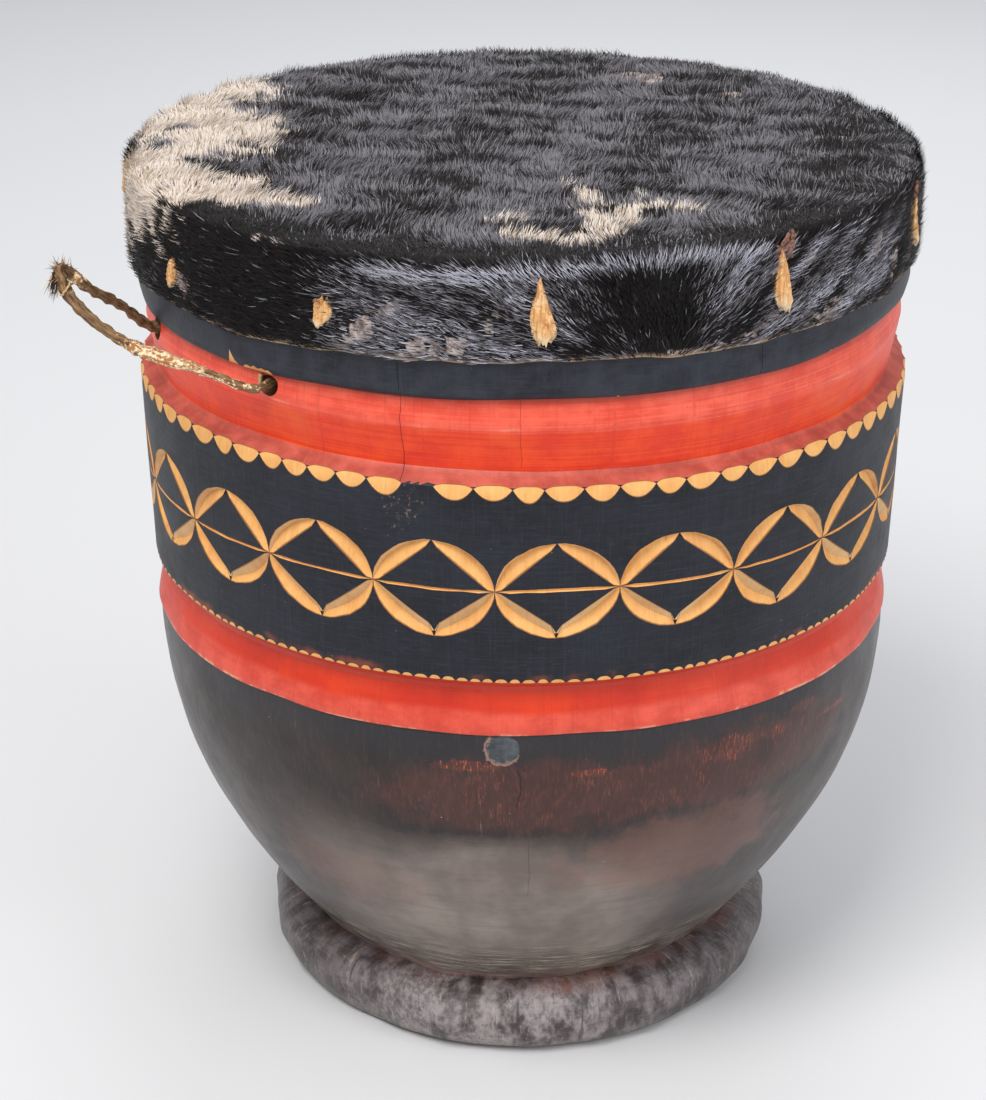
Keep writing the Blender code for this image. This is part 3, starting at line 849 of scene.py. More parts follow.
unwrap.data.foreach_set("uv", np.stack([turn, level], 1).ravel())


class WoodFinish(Finish):
    """A finish on the log, with the marks that run through the whole of it."""

    def __init__(self, name, **constants):
        super().__init__(name, **constants)
        self.wrap = self.node("ShaderNodeAttribute", {"attribute_name": "wrap"}, out="Vector")
        parts = self.node("ShaderNodeSeparateXYZ", {}, {0: self.place})
        x, y, self.height = (Wire(self, parts.socket.node.outputs[i]) for i in range(3))
        self.bearing = self.node("ShaderNodeMath", {"operation": "ARCTAN2"}, {0: x, 1: y * -1.0})
        self.cloud = self.noise(self.wrap, 22, 4, 0.6)
        self.blotch = self.noise(self.wrap, 75, 5, 0.62)
        self.speck = self.noise(self.wrap, 700, 2, 0.5)
        self.crumb = self.noise(self.wrap, 330, 5, 0.7)
        self.rings = self.drawn(9, 900, 3, 0.6)
        self.grain = self.drawn(700, 11, 3, 0.6)
        self.scores = self.drawn(260, 26, 4, 0.7)
        self.sweeps = self.drawn(24, 420, 4, 0.7)

    def drawn(self, around, down, *finish):
        """Noise with one fineness round the log and another down it."""
        return self.noise(self.stretch(self.wrap, around, around, down), 1.0, *finish)

    def near(self, value, middle, width):
        """1 at a middle value, falling to 0 a width away."""
        return self.rise(abs(value - middle), width, 0.0)

    def crack(self, bearing_deg, waver, width_deg, low, high):
        """A hairline crack along the grain, between two heights."""
        line = self.bearing + (self.drawn(2, 60, 3) - 0.5) * waver
        kept = self.rise(self.height, low, low + 0.003) * self.rise(self.height, high, high - 0.003)
        return self.near(line, math.radians(bearing_deg), math.radians(width_deg)) * kept

    def patch(self, bearing_deg, height, wide_deg, tall, ragged=0.5):
        """A blotch with a ragged edge, round a bearing and a height."""
        a = (self.bearing - math.radians(bearing_deg)) / math.radians(wide_deg)
        b = (self.height - height) / tall
        edge = self.blotch if tall > 0.012 else self.crumb
        return self.rise(a * a + b * b + (edge - 0.5) * ragged * 4, 1.35, 0.35)


def black_paint():
    coat = WoodFinish("black_paint", Specular_IOR_Level=0.3)
    colour = coat.mix(coat.rise(coat.cloud, 0.3, 0.7), srgb(17, 18, 23), srgb(31, 33, 42))
    colour = coat.mix(coat.rise(coat.rings, 0.45, 0.75) * 0.30, colour, srgb(46, 50, 60))
    colour = coat.mix(coat.rise(coat.grain, 0.5, 0.8) * 0.28, colour, srgb(50, 55, 66))
    dust = coat.rise(coat.blotch, 0.5, 0.8) * coat.rise(coat.scores, 0.4, 0.7)
    colour = coat.mix(dust * 0.25, colour, srgb(64, 68, 78))
    weave = coat.rise(coat.drawn(120, 1300, 3, 0.7), 0.5, 0.66)
    weave = weave.most(coat.rise(coat.drawn(1300, 90, 3, 0.7), 0.54, 0.68))
    colour = coat.mix(weave * 0.4, colour, srgb(50, 55, 67))
    scratch = coat.rise(coat.scores, 0.70, 0.76) * coat.rise(coat.cloud, 0.5, 0.6)
    scratch = scratch.most(coat.rise(coat.sweeps, 0.73, 0.79) * coat.rise(coat.cloud, 0.4, 0.5))
    colour = coat.mix(scratch * 0.7, colour, srgb(150, 148, 142))
    rubbed = coat.patch(-16.5, 0.338, 3.4, 0.013, 0.9) * coat.rise(
        coat.noise(coat.wrap, 420, 4, 0.7), 0.55, 0.68
    )
    colour = coat.mix(rubbed * 0.75, colour, srgb(134, 116, 100))
    fleck = coat.rise(coat.speck, 0.76, 0.80) * coat.rise(coat.cloud, 0.42, 0.62)
    colour = coat.mix(fleck, colour, srgb(176, 160, 136))
    # Over the collar ring the black is lighter in blotches: painted sheen.
    ring = coat.rise(coat.height, 0.391, 0.393)
    colour = coat.mix(ring * coat.rise(coat.blotch, 0.3, 0.7) * 0.5, colour, srgb(62, 64, 74))
    foot_edge = (
        coat.near(coat.height + (coat.blotch - 0.5) * 0.006, 0.2515, 0.0035)
        * coat.rise(coat.cloud, 0.5, 0.62)
    )
    colour = coat.mix(foot_edge * 0.6, colour, srgb(150, 72, 44))
    cracks = coat.crack(-17.2, 0.02, 0.07, 0.392, 0.42) + coat.crack(33, 0.03, 0.07, 0.392, 0.4085)
    colour = coat.mix(cracks * 0.8, colour, srgb(6, 6, 7))
    rough = 0.40 + coat.blotch * 0.18 + scratch * 0.25 + dust * 0.15
    height = (
        coat.cloud * 0.4 + coat.rings * 0.10 + coat.grain * 0.10 + coat.blotch * 0.22 - scratch * 0.08
        - cracks * 0.8
    )
    return coat.surface(colour, rough, height, 0.0011)


def red_paint():
    coat = WoodFinish("red_paint", Specular_IOR_Level=0.5)
    wavy = coat.height + (coat.cloud - 0.5) * 0.004
    brushed = coat.rise(coat.rings * 0.45 + coat.blotch * 0.55, 0.38, 0.62)
    # The neck's facets that look up are lighter and pinker, salmon above the ridge and pale pink on the chamfer:
    # painted sheen. Where the neck looks down below the ridge the red is a saturated orange.
    salmon = coat.mix(brushed, srgb(224, 66, 42), srgb(244, 98, 72))
    orange = coat.mix(brushed, srgb(220, 44, 2), srgb(238, 70, 8))
    orange = coat.mix(coat.rise(coat.cloud, 0.5, 0.75) * 0.6, orange, srgb(238, 96, 20))
    chamfer_sheen_pink = coat.mix(coat.rise(coat.blotch, 0.3, 0.75), srgb(164, 64, 50), srgb(206, 98, 80))
    lip = coat.mix(coat.rise(coat.blotch, 0.3, 0.7), srgb(202, 60, 40), srgb(226, 86, 64))
    cove = coat.mix(coat.rise(coat.cloud, 0.35, 0.7), srgb(196, 36, 2), srgb(218, 56, 8))
    colour = coat.mix(coat.rise(wavy, 0.3725, 0.3765), orange, salmon)
    colour = coat.mix(coat.rise(wavy, 0.3550, 0.3535), colour, chamfer_sheen_pink)
    colour = coat.mix(coat.rise(wavy, 0.262, 0.258), colour, cove)
    colour = coat.mix(coat.rise(wavy, 0.2335, 0.2290), colour, lip)
    # The top of the cove, under the band's overhanging foot, is darker: painted shade.
    cove_shade = coat.rise(wavy, 0.2405, 0.2440) * coat.rise(coat.height, 0.262, 0.258)
    colour = coat.mix(cove_shade * 0.7, colour, srgb(186, 56, 38))
    streak = coat.rise(coat.sweeps, 0.5, 0.75)
    colour = coat.mix(streak * 0.12, colour, srgb(150, 30, 10))
    grain = coat.rise(coat.grain, 0.5, 0.8) * coat.rise(coat.rings, 0.35, 0.6)
    colour = coat.mix(grain * 0.38, colour, srgb(150, 30, 10))
    scratch = coat.rise(coat.scores, 0.69, 0.75) * coat.rise(coat.cloud, 0.46, 0.58)
    colour = coat.mix(scratch * 0.6, colour, srgb(240, 150, 118))
    # Paler in patches along the ridge and along the lip's lower edge: worn paint, and on the ridge also a painted
    # highlight.
    worn = (
        coat.near(coat.height + (coat.blotch - 0.5) * 0.004, 0.3762, 0.0012)
        * coat.rise(coat.cloud, 0.54, 0.66) * 0.5
    )
    worn = worn.most(
        coat.near(coat.height + (coat.blotch - 0.5) * 0.006, 0.2206, 0.0018)
        * coat.rise(coat.blotch, 0.52, 0.6)
    )
    colour = coat.mix(worn * 0.75, colour, srgb(236, 176, 140))
    fleck = coat.rise(coat.speck, 0.75, 0.79) * coat.rise(coat.cloud, 0.4, 0.6)
    colour = coat.mix(fleck, colour, srgb(90, 28, 20))
    cracks = coat.crack(-17.2, 0.02, 0.05, 0.343, 0.42) + coat.crack(-0.8, 0.02, 0.035, 0.355, 0.392) * 0.5
    colour = coat.mix(cracks * 0.7, colour, srgb(70, 18, 12))
    # Just under the collar ring the red is darker: painted shadow.
    shadow_under_ring = coat.rise(coat.height, 0.3875, 0.3905)
    colour = coat.mix(shadow_under_ring * 0.4, colour, srgb(80, 24, 20))
    rough = (
        0.34 + coat.blotch * 0.2 + streak * 0.1
        + coat.rise(wavy, 0.3545, 0.3530) * coat.rise(coat.height, 0.33, 0.34) * 0.2
    )
    height = (
        coat.cloud * 0.4 + coat.rings * 0.05 + coat.blotch * 0.25 + streak * 0.08 - scratch * 0.1
        - cracks * 0.8
    )
    return coat.surface(colour, rough, height, 0.0011)


def bare_wood(name, dark, light, streak):
    wood = WoodFinish(name, Roughness=0.62, Specular_IOR_Level=0.35)
    colour = wood.mix(wood.rise(wood.blotch, 0.3, 0.7), dark, light)
    colour = wood.mix(wood.rise(wood.grain, 0.3, 0.75) * 0.3, colour, streak)
    colour = wood.mix(wood.rise(wood.scores, 0.5, 0.78) * 0.4, colour, streak)
    pores = wood.rise(wood.drawn(1500, 120, 2), 0.66, 0.72)
    colour = wood.mix(pores * 0.35, colour, srgb(170, 106, 52))
    stained_rim = wood.rise(wood.attribute("rim") + (wood.blotch - 0.5) * 0.12, 0.82, 0.96)
    colour = wood.mix(stained_rim * 0.85, colour, srgb(116, 62, 24))
    return wood.surface(colour, None, wood.scores * 0.4 + wood.blotch * 0.6, 0.0006)


def stained_bowl():
    stain = WoodFinish("rubbed_dark_stain", Specular_IOR_Level=0.4, Coat_Weight=0.1, Coat_Roughness=0.3)
    short_marks = stain.drawn(520, 110, 4, 0.7)
    scratched = stain.rise(short_marks, 0.48, 0.68)
    colour = stain.mix(stain.rise(stain.cloud, 0.3, 0.7), srgb(28, 20, 20), srgb(48, 36, 33))
    colour = stain.mix(stain.rise(stain.height, 0.196, 0.216) * 0.7, colour, srgb(34, 35, 41))
    colour = stain.mix(scratched * 0.2, colour, srgb(86, 66, 60))
    # The shoulder of the bowl is worn through to a red undercoat, most of all in front.
    worn = stain.patch(2, 0.184, 26, 0.022, 0.6) + stain.patch(34, 0.188, 24, 0.022, 0.6) * 0.9
    worn = (
        worn + stain.patch(-105, 0.172, 34, 0.022, 0.6) * 0.8
        + stain.patch(148, 0.172, 40, 0.022, 0.6) * 0.8
    )
    worn = worn.least(1.0)
    colour = stain.mix(worn * (0.36 + scratched * 0.3), colour, srgb(94, 48, 38))
    fine = stain.rise(stain.drawn(1000, 170, 4, 0.75), 0.53, 0.66)
    colour = stain.mix(worn * fine * stain.rise(stain.blotch, 0.42, 0.62) * 0.6, colour, srgb(160, 84, 62))
    glow = stain.patch(9.5, 0.1985, 3.0, 0.0022, 1.0) + stain.patch(-8.5, 0.2030, 4.6, 0.0030, 1.1)
    glow = (
        glow + stain.patch(31, 0.199, 5.0, 0.006, 1.2) * 0.7 + stain.patch(40, 0.200, 3.4, 0.003, 0.9) * 0.6
    )
    glow = glow + stain.patch(54, 0.196, 4.0, 0.0016, 0.7) + stain.patch(46, 0.2075, 3.0, 0.003, 0.9) * 0.6
    colour = stain.mix(glow * (0.06 + fine * 0.75), colour, srgb(222, 100, 66))
    # Lower down, strongest in front and fading to the sides, a soft grey-brown is laid over the stain: painted
    # reflection of the pale floor.
    wavy = stain.height + (stain.cloud - 0.5) * 0.014 + (stain.blotch - 0.5) * 0.012
    sideways = abs(stain.bearing + 0.08)
    reflection_top = stain.rise(sideways, 0.10, 0.85) * 0.026 + 0.1655
    floor_reflection = stain.rise((wavy - reflection_top) / (stain.rise(sideways, 0.05, 0.4) * 2.4 + 1.3), 0.0, -0.016)
    floor_reflection = floor_reflection * (1.0 - stain.rise(stain.height, 0.072, 0.055) * 0.35) * (
        1.0 - stain.rise(sideways, 0.24, 0.72) * 0.92
    )
    reflected_grey = stain.mix(stain.rise(stain.cloud, 0.3, 0.7), srgb(120, 106, 98), srgb(160, 146, 136))
    reflected_grey = stain.mix(stain.rise(stain.sweeps, 0.45, 0.75) * 0.35, reflected_grey, srgb(100, 86, 78))
    colour = stain.mix(floor_reflection * 0.85, colour, reflected_grey)
    pinkish = stain.patch(26, 0.140, 20, 0.026, 0.8) + stain.patch(-30, 0.118, 14, 0.02, 0.9) * 0.6
    colour = stain.mix(pinkish * 0.3, colour, srgb(140, 86, 72))
    ankle = stain.rise(stain.height + (stain.cloud - 0.5) * 0.02, 0.080, 0.058)
    colour = stain.mix(ankle * 0.3, colour, srgb(72, 62, 56))
    bent = stain.node(
        "ShaderNodeCombineXYZ", {}, {0: stain.bearing * 5.0, 1: stain.height * 1300.0 + stain.cloud * 5.0}
    )
    tooled = stain.rise(stain.noise(bent, 1.0, 5, 0.8), 0.50, 0.62)
    colour = stain.mix(ankle * tooled * 0.85, colour, srgb(196, 186, 168))
    foot = stain.rise(stain.height + (stain.blotch - 0.5) * 0.004, 0.0405, 0.036)
    # In front the foot is lighter in blotches: painted highlight.
    in_front = stain.rise(sideways, 1.0, 0.2)
    grey = stain.mix(stain.rise(stain.blotch, 0.34, 0.66), srgb(62, 54, 54), srgb(112, 102, 104))
    grey = stain.mix(
        in_front * stain.rise(stain.blotch + stain.cloud, 0.85, 1.15) * 0.75, grey, srgb(184, 172, 174)
    )
    colour = stain.mix(foot * 0.9, colour, grey)
    dirt = stain.rise(stain.crumb + (stain.cloud - 0.5) * 0.8, 0.5, 0.66) * foot
    colour = stain.mix(dirt * 0.5, colour, srgb(54, 47, 46))
    scuff = stain.rise(stain.drawn(240, 60, 5, 0.8), 0.57, 0.68)
    colour = stain.mix(foot * scuff * 0.62, colour, srgb(186, 174, 158))
    split = stain.rise(stain.drawn(170, 22, 2), 0.66, 0.70) * foot
    colour = stain.mix(split * 0.6, colour, srgb(44, 38, 38))
    crease = (
        stain.near(stain.height + (stain.cloud - 0.5) * 0.008, 0.0385, 0.0048)
        * stain.rise(stain.cloud, 0.28, 0.5)
    )
    colour = stain.mix(crease * stain.rise(stain.crumb, 0.4, 0.6) * 0.6, colour, srgb(176, 112, 92))
    sole_wear = stain.rise(stain.height, 0.010, 0.001) * stain.rise(stain.blotch, 0.4, 0.6)
    colour = stain.mix(sole_wear * 0.5, colour, srgb(136, 122, 104))
    light_score = stain.rise(stain.scores, 0.68, 0.75) * stain.rise(stain.cloud, 0.4, 0.6)
    colour = stain.mix(light_score * 0.4, colour, srgb(158, 142, 130))
    # A dark ragged band runs along the top edge of the painted floor reflection, in front only, and three small dark
    # blots lie above it.
    reflection_edge = stain.near(stain.height + (stain.blotch - 0.5) * 0.016, 0.1635, 0.0036)
    dark_band_and_blots = (
        reflection_edge * stain.rise(stain.cloud + (stain.blotch - 0.5) * 0.6, 0.42, 0.54)
        * stain.rise(sideways, 0.5, 0.3)
    )
    dark_band_and_blots = dark_band_and_blots + stain.patch(10, 0.170, 3, 0.006, 0.9) + stain.patch(38, 0.192, 1.6, 0.010, 0.9)
    dark_band_and_blots = (dark_band_and_blots + stain.patch(29, 0.204, 1.6, 0.008, 0.9)).least(1.0)
    colour = stain.mix(dark_band_and_blots * (0.35 + scratched * 0.4), colour, srgb(22, 20, 24))
    fleck = stain.rise(stain.speck, 0.765, 0.80) * stain.rise(stain.cloud, 0.4, 0.6)
    colour = stain.mix(fleck, colour, srgb(206, 188, 166))
    # A branch knot just below the lip, with a pale rim and a crack that runs down from it.
    a = (stain.bearing - math.radians(-3.3)) / math.radians(2.4)
    b = (stain.height - 0.2125) / 0.0078
    off = a * a + b * b + (stain.crumb - 0.5) * 1.5
    knot_rim = stain.near(off, 1.05, 0.34) * stain.rise(b + a * 0.8 + (stain.crumb - 0.5) * 2.0, 0.5, 0.0)
    end_grain = stain.mix(
        stain.rise(stain.blotch + stain.crumb * 0.6, 0.6, 1.0), srgb(46, 50, 56), srgb(92, 98, 102)
    )
    colour = stain.mix(stain.rise(off, 1.1, 0.9) * 0.9, colour, end_grain)
    colour = stain.mix(knot_rim * 0.75, colour, srgb(176, 138, 122))
    cracks = stain.crack(-1.0, 0.05, 0.10, 0.178, 0.203) + stain.crack(0.6, 0.03, 0.05, 0.118, 0.160) * 0.35
    cracks = cracks + stain.crack(-60, 0.03, 0.1, 0.12, 0.2) + stain.crack(120, 0.03, 0.12, 0.05, 0.2)
    colour = stain.mix(cracks * 0.75, colour, srgb(26, 20, 20))
    rough = 0.26 + stain.blotch * 0.24 + floor_reflection * 0.10 + light_score * 0.2
    height = (
        stain.cloud * 0.5 + stain.blotch * 0.2 + short_marks * 0.05 + ankle * stain.sweeps * 0.3
        + foot * stain.blotch * 0.6
    )
    height = height - cracks * 0.5 - light_score * 0.08 + stain.rise(off, 1.1, 0.85) * 0.2
    return stain.surface(colour, rough, height, 0.0016)


def raw_inside():
    wood = WoodFinish("raw_hollow_wood", Roughness=0.85, Specular_IOR_Level=0.2)
    colour = wood.mix(wood.rise(wood.grain, 0.3, 0.7), srgb(116, 82, 52), srgb(164, 122, 80))
    colour = wood.mix(wood.rise(wood.cloud, 0.5, 0.7) * 0.6, colour, srgb(92, 62, 40))
    gouge = wood.drawn(60, 24, 2)
    return wood.surface(colour, None, gouge * 0.8 + wood.grain * 0.2, 0.002)


# Cut wood, and a darker, greyer copy of it for the faces of the cuts that look down: painted shade.
plain_cut_wood = bare_wood("bare_cut_wood", srgb(224, 156, 84), srgb(238, 178, 104), srgb(248, 200, 136))
shaded_cut_wood = bare_wood("painted_shade_cut_wood", srgb(200, 156, 104), srgb(220, 182, 132), srgb(228, 192, 142))
for finish in (black_paint(), red_paint(), plain_cut_wood, stained_bowl(), raw_inside(), shaded_cut_wood):
    log.data.materials.append(finish)
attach(log, "drum")
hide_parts("shell")

# ---------------------------------------------------------------------------------------------------------
# The head: one piece of cowhide laid on wet, hair side out, its skirt cut by eye and pulled down over the
# collar. It dried tight and hard, and the hair has worn away in patches, most of all round the pegs.
HIDE_OUT = 199.2
HIDE_IN = 198.0
HIDE_TOP = 457.1
HIDE_UNDER = 456.0
HIDE_ROUND = 7.0
HIDE_INNER_ROUND = 5.6
SKIRT_EDGE = 409.0
HIDE_ROUNDS = 360
MM_PER_DEGREE = 3.47  # round the skirt


def skirt_edge(bearing):
    """How low the skirt comes, in millimetres above the floor: it was cut with a knife, not to a line."""
    return SKIRT_EDGE + 1.5 * np.sin(2 * bearing + 0.6) + 0.9 * np.sin(5 * bearing + 2) + 0.6 * np.sin(11 * bearing) \
        + 0.35 * np.sin(29 * bearing + 1) + 0.25 * np.sin(53 * bearing) \
        + 3.2 * bell(bearing, math.radians(66), math.radians(5)) - 2.0 * bell(bearing, math.radians(-70), math.radians(8))


def pucker(bearing, height):
    """How far the skirt stands off the collar between its pegs, in millimetres."""
    low = ease(height, 446, 410)
    wave = 0.55 + 0.45 * np.sin(9 * bearing + 1.0) * np.sin(4 * bearing)
    return low * wave * 0.9 + 0.35 * np.sin(17 * bearing + height / 9) * low


hide_bearings = np.linspace(0, 2 * math.pi, HIDE_ROUNDS, endpoint=False)
signed = (hide_bearings + math.pi) % (2 * math.pi) - math.pi
edges_at = skirt_edge(signed)
top_rings = np.linspace(4, HIDE_OUT - HIDE_ROUND, 46)
round_steps = np.radians(np.linspace(90, 0, 6))[1:]
skirt_shares = np.linspace(0, 1, 17)[1:]
rings, outside_count = [], 0
for radius in top_rings:
    dip = 0.35 * np.sin(3 * signed + radius / 30) * (radius / 200) + 0.5 * bell(radius, 0, 120) * -1
    rings.append((np.full(HIDE_ROUNDS, radius), HIDE_TOP + dip * (radius < 185)))
for angle in round_steps:
    corner_r, corner_z = HIDE_OUT - HIDE_ROUND, HIDE_TOP - HIDE_ROUND
    rings.append((np.full(HIDE_ROUNDS, corner_r + HIDE_ROUND * math.cos(angle)), np.full(HIDE_ROUNDS, corner_z + HIDE_ROUND * math.sin(angle))))
for share in skirt_shares:
    heights_here = (HIDE_TOP - HIDE_ROUND) * (1 - share) + edges_at * share
    rings.append((HIDE_OUT + pucker(signed, heights_here), heights_here))
outside_count = len(rings)
for share in skirt_shares[::-1][::3]:
    heights_here = (HIDE_TOP - HIDE_ROUND) * (1 - share) + (edges_at + 0.1) * share
    rings.append((HIDE_IN + pucker(signed, heights_here) * 0.8, heights_here))
for angle in round_steps[::-1]:
    rings.append((np.full(HIDE_ROUNDS, HIDE_IN - HIDE_INNER_ROUND + HIDE_INNER_ROUND * math.cos(angle)), np.full(HIDE_ROUNDS, HIDE_UNDER - HIDE_INNER_ROUND + HIDE_INNER_ROUND * math.sin(angle))))
for radius in top_rings[::-1][::5]:
    rings.append((np.full(HIDE_ROUNDS, min(radius, HIDE_IN - HIDE_INNER_ROUND)), np.full(HIDE_ROUNDS, HIDE_UNDER - 0.6 * (radius < 185))))
hide_points = [(0, 0, HIDE_TOP - 0.5)]
for radius, level_here in rings:
    hide_points += list(zip(radius * np.sin(signed), -radius * np.cos(signed), level_here))
hide_points.append((0, 0, HIDE_UNDER - 0.6))
hide_points = np.array(hide_points) / 1000
hide_faces = []
last = len(hide_points) - 1
for j in range(HIDE_ROUNDS):
    k = (j + 1) % HIDE_ROUNDS
    hide_faces.append((0, 1 + j, 1 + k))
    for i in range(len(rings) - 1):
        a, b = 1 + i * HIDE_ROUNDS, 1 + (i + 1) * HIDE_ROUNDS
        hide_faces.append((a + j, b + j, b + k, a + k))
    a = 1 + (len(rings) - 1) * HIDE_ROUNDS
    hide_faces.append((last, a + k, a + j))
outer_points = 1 + outside_count * HIDE_ROUNDS

# Where the coat is white or bare, where its hairs carry painted sheen and glints, and which way each tuft lies,
# worked out on the hide's outer face.
x, y, z = hide_points.T * 1000
hide_bearing = np.arctan2(x, -y)
hide_reach = np.hypot(x, y)


def drift(px, py, size, seed):
    """Smooth random hills about a size across, from -1 to 1."""
    made = np.random.default_rng(seed)
    total = np.zeros(len(px))
    for _ in range(14):
        angle, phase, length = (
            made.uniform(0, 2 * math.pi), made.uniform(0, 2 * math.pi), size * made.uniform(0.7, 1.6)
        )
        total += np.sin((px * math.cos(angle) + py * math.sin(angle)) * 2 * math.pi / length + phase)
    return np.clip(total / 4.2, -1, 1)


# The skin laid flat: the top as it is, and the skirt folded out beyond it.
laid = hide_reach + np.where(z < HIDE_TOP - 1.0, HIDE_TOP - z, 0)
flat_x, flat_y = laid * np.sin(hide_bearing), -laid * np.cos(hide_bearing)
ragged = drift(flat_x, flat_y, 17, 5) * 0.32 + drift(flat_x, flat_y, 7, 6) * 0.2


def spots_of(places):
    """1 inside any of some blots on the laid-out skin: middle across and up, half-sizes, and turn in degrees."""
    most = np.full(len(flat_x), -9.0)
    for cx, cy, wide, tall, lean in places:
        c, s = math.cos(math.radians(lean)), math.sin(math.radians(lean))
        u, v = (flat_x - cx) * c + (flat_y - cy) * s, (flat_y - cy) * c - (flat_x - cx) * s
        most = np.maximum(most, 1 - np.hypot(u / wide, v / tall))
    return most


white_blots = [
    (-172, 40, 34, 72, 18), (-158, 110, 20, 36, 30), (-176, -50, 28, 56, 0), (-152, -90, 26, 20, 0),
    (-132, -106, 30, 9, -10),
    (-196, -62, 20, 32, 8), (-214, -36, 24, 28, 6), (-226, -30, 20, 18, 0), (-136, 20, 12, 24, 0),
]
dark_blots = [
    (-152, -52, 15, 9, -16), (-162, -44, 8, 7, 0), (-146, 62, 9, 12, 0), (-176, 20, 9, 6, 0),
    (-182, -12, 8, 6, 0)
]
tuft_blots = [
    (2, -163, 17, 8, 0), (22, -168, 16, 8, -8), (33, -150, 8, 24, 12), (29, -105, 6, 22, 20),
    (47, -130, 6, 28, -14),
    (62, -118, 8, 8, 0), (74, -126, 8, 5, 0), (-8, -140, 12, 4, 0),
]
white = np.clip((spots_of(white_blots) + ragged * 0.9 + 0.12) * 6, 0, 1)
white *= 1 - np.clip((spots_of(dark_blots) + ragged * 0.6 + 0.05) * 6, 0, 1)
white = np.maximum(white, np.clip((spots_of(tuft_blots) + ragged * 0.9 - 0.02) * 4, 0, 1) * 0.9)
bare_blots = [(64, 134, 20, 13, -15), (110, 96, 10, 9, -30), (158, 6, 9, 10, 0), (-30, 150, 5, 5, 0)]
bare = np.clip((spots_of(bare_blots) + ragged * 0.8) * 5, 0, 1)
skirt = ease(hide_reach, 194, 198.5)


def skirt_patch(bearing_deg, height, long, thick, lean):
    """A worn streak on the skirt: its middle, half its length and thickness in millimetres, and its lean."""
    across, up = (np.degrees(hide_bearing) - bearing_deg) * MM_PER_DEGREE, z - height
    c, s = math.cos(math.radians(lean)), math.sin(math.radians(lean))
    along, over = across * c + up * s, up * c - across * s
    frayed = drift(along * 0.35, over * 1.6, 5, 41) * 0.55
    return np.clip((1 - np.hypot(along / long, over / thick) + frayed) * 2.2, 0, 1) * skirt


for patch in (
    (-22.3, 419, 17, 5.4, 42), (-18.2, 431, 7, 2.4, 30), (-14.8, 415, 9, 4.2, 34), (-9.8, 417, 14, 4.0, 12),
    (-55, 421, 12, 6, -25),
    (-36, 457, 20, 3, 0), (45, 416, 18, 4.6, 14), (62, 424, 12, 4.4, 50), (56, 436, 10, 3.0, 60),
    (24, 412, 24, 1.8, 3), (40.5, 441, 8, 3, 70),
    (-5, 427, 7, 2.2, 60), (33, 418, 9, 2.2, 20), (70, 420, 11, 4, 62), (100, 418, 18, 6, 20),
    (139, 420, 15, 6, -40),
    (176, 414, 22, 4, 8), (-160, 422, 15, 6, 35), (-128, 418, 18, 5, -20), (-95, 424, 12, 5, 50),
):
    bare = np.maximum(bare, skirt_patch(*patch) * 0.9)
for name, (bearing, height, tall) in pegs.items():
    off = np.hypot((hide_bearing - bearing + math.pi) % (2 * math.pi) - math.pi, (z / 1000 - height) / 0.26)
    bare = np.maximum(bare, np.clip((0.034 - off) * 50 + ragged * 0.5, 0, 1) * skirt)
degrees_round = np.degrees(hide_bearing)
fan_foot = 18.5  # the bearing that the hair of the front fans out from
across_fan = (degrees_round - fan_foot) * MM_PER_DEGREE
along_fan = np.arctan2(across_fan, z - 394)
streaks = drift(np.degrees(along_fan) * 1.6, z * 0.10 + degrees_round * 0.3, 15, 9)
# Painted sheen on the hair: a bright line along the fold, streaky sheen on the skirt either side of the front and
# faintly further round, and sheen in waves on the top, less at the front rim and to the right.
fold_highlight = (
    bell(z, 450.5 + 2.5 * np.sin(hide_bearing * 5), 2.9) * skirt
    * ease(-np.abs(degrees_round - 6), -33, -22)
)
left_sheen = ease(degrees_round, -32, -16) * ease(-degrees_round, -10, -2) * ease(z, 455, 447)
right_sheen = ease(degrees_round, 20, 28) * ease(-degrees_round, -66, -56) * ease(z, 456, 447)
far_streaks = drift(degrees_round * 2.2 - z * 0.8, z * 0.1, 12, 10)
skirt_sheen = (
    left_sheen * np.clip(0.42 + streaks * 0.35, 0, 1)
    + right_sheen * np.clip(0.45 + (streaks + far_streaks) * 0.45, 0, 1)
)
skirt_sheen += 0.22 * bell(degrees_round, 13, 8) * np.clip(streaks, 0, 1)
skirt_sheen += 0.015 + 0.16 * np.clip(far_streaks, 0, 1) * (np.abs(degrees_round) > 60)
waves = (
    drift(flat_x * 0.5 + flat_y * 0.3, flat_y * 1.4, 30, 12)
    + 0.7 * drift(flat_x * 0.7, flat_y * 1.4, 12, 13)
)
front_rim = ease(hide_reach, 168, 190) * ease(-flat_y, 60, 130)
top_sheen = (1 - skirt) * np.clip(0.36 + waves * 0.5, 0.03, 0.85) * (1 - 0.95 * front_rim)
top_sheen *= 1 - 0.45 * ease(flat_x, 90, 190)
sheen = np.clip(fold_highlight * 0.95 + skirt_sheen * skirt + top_sheen, 0, 1)
# Where the sheen is brightest the hairs glint: painted highlight.
silver = np.clip(
    fold_highlight * 0.85 + (left_sheen * 0.35 + right_sheen * 0.6) * np.clip(0.3 + streaks * 0.8, 0, 1) * skirt,
    0, 1
)

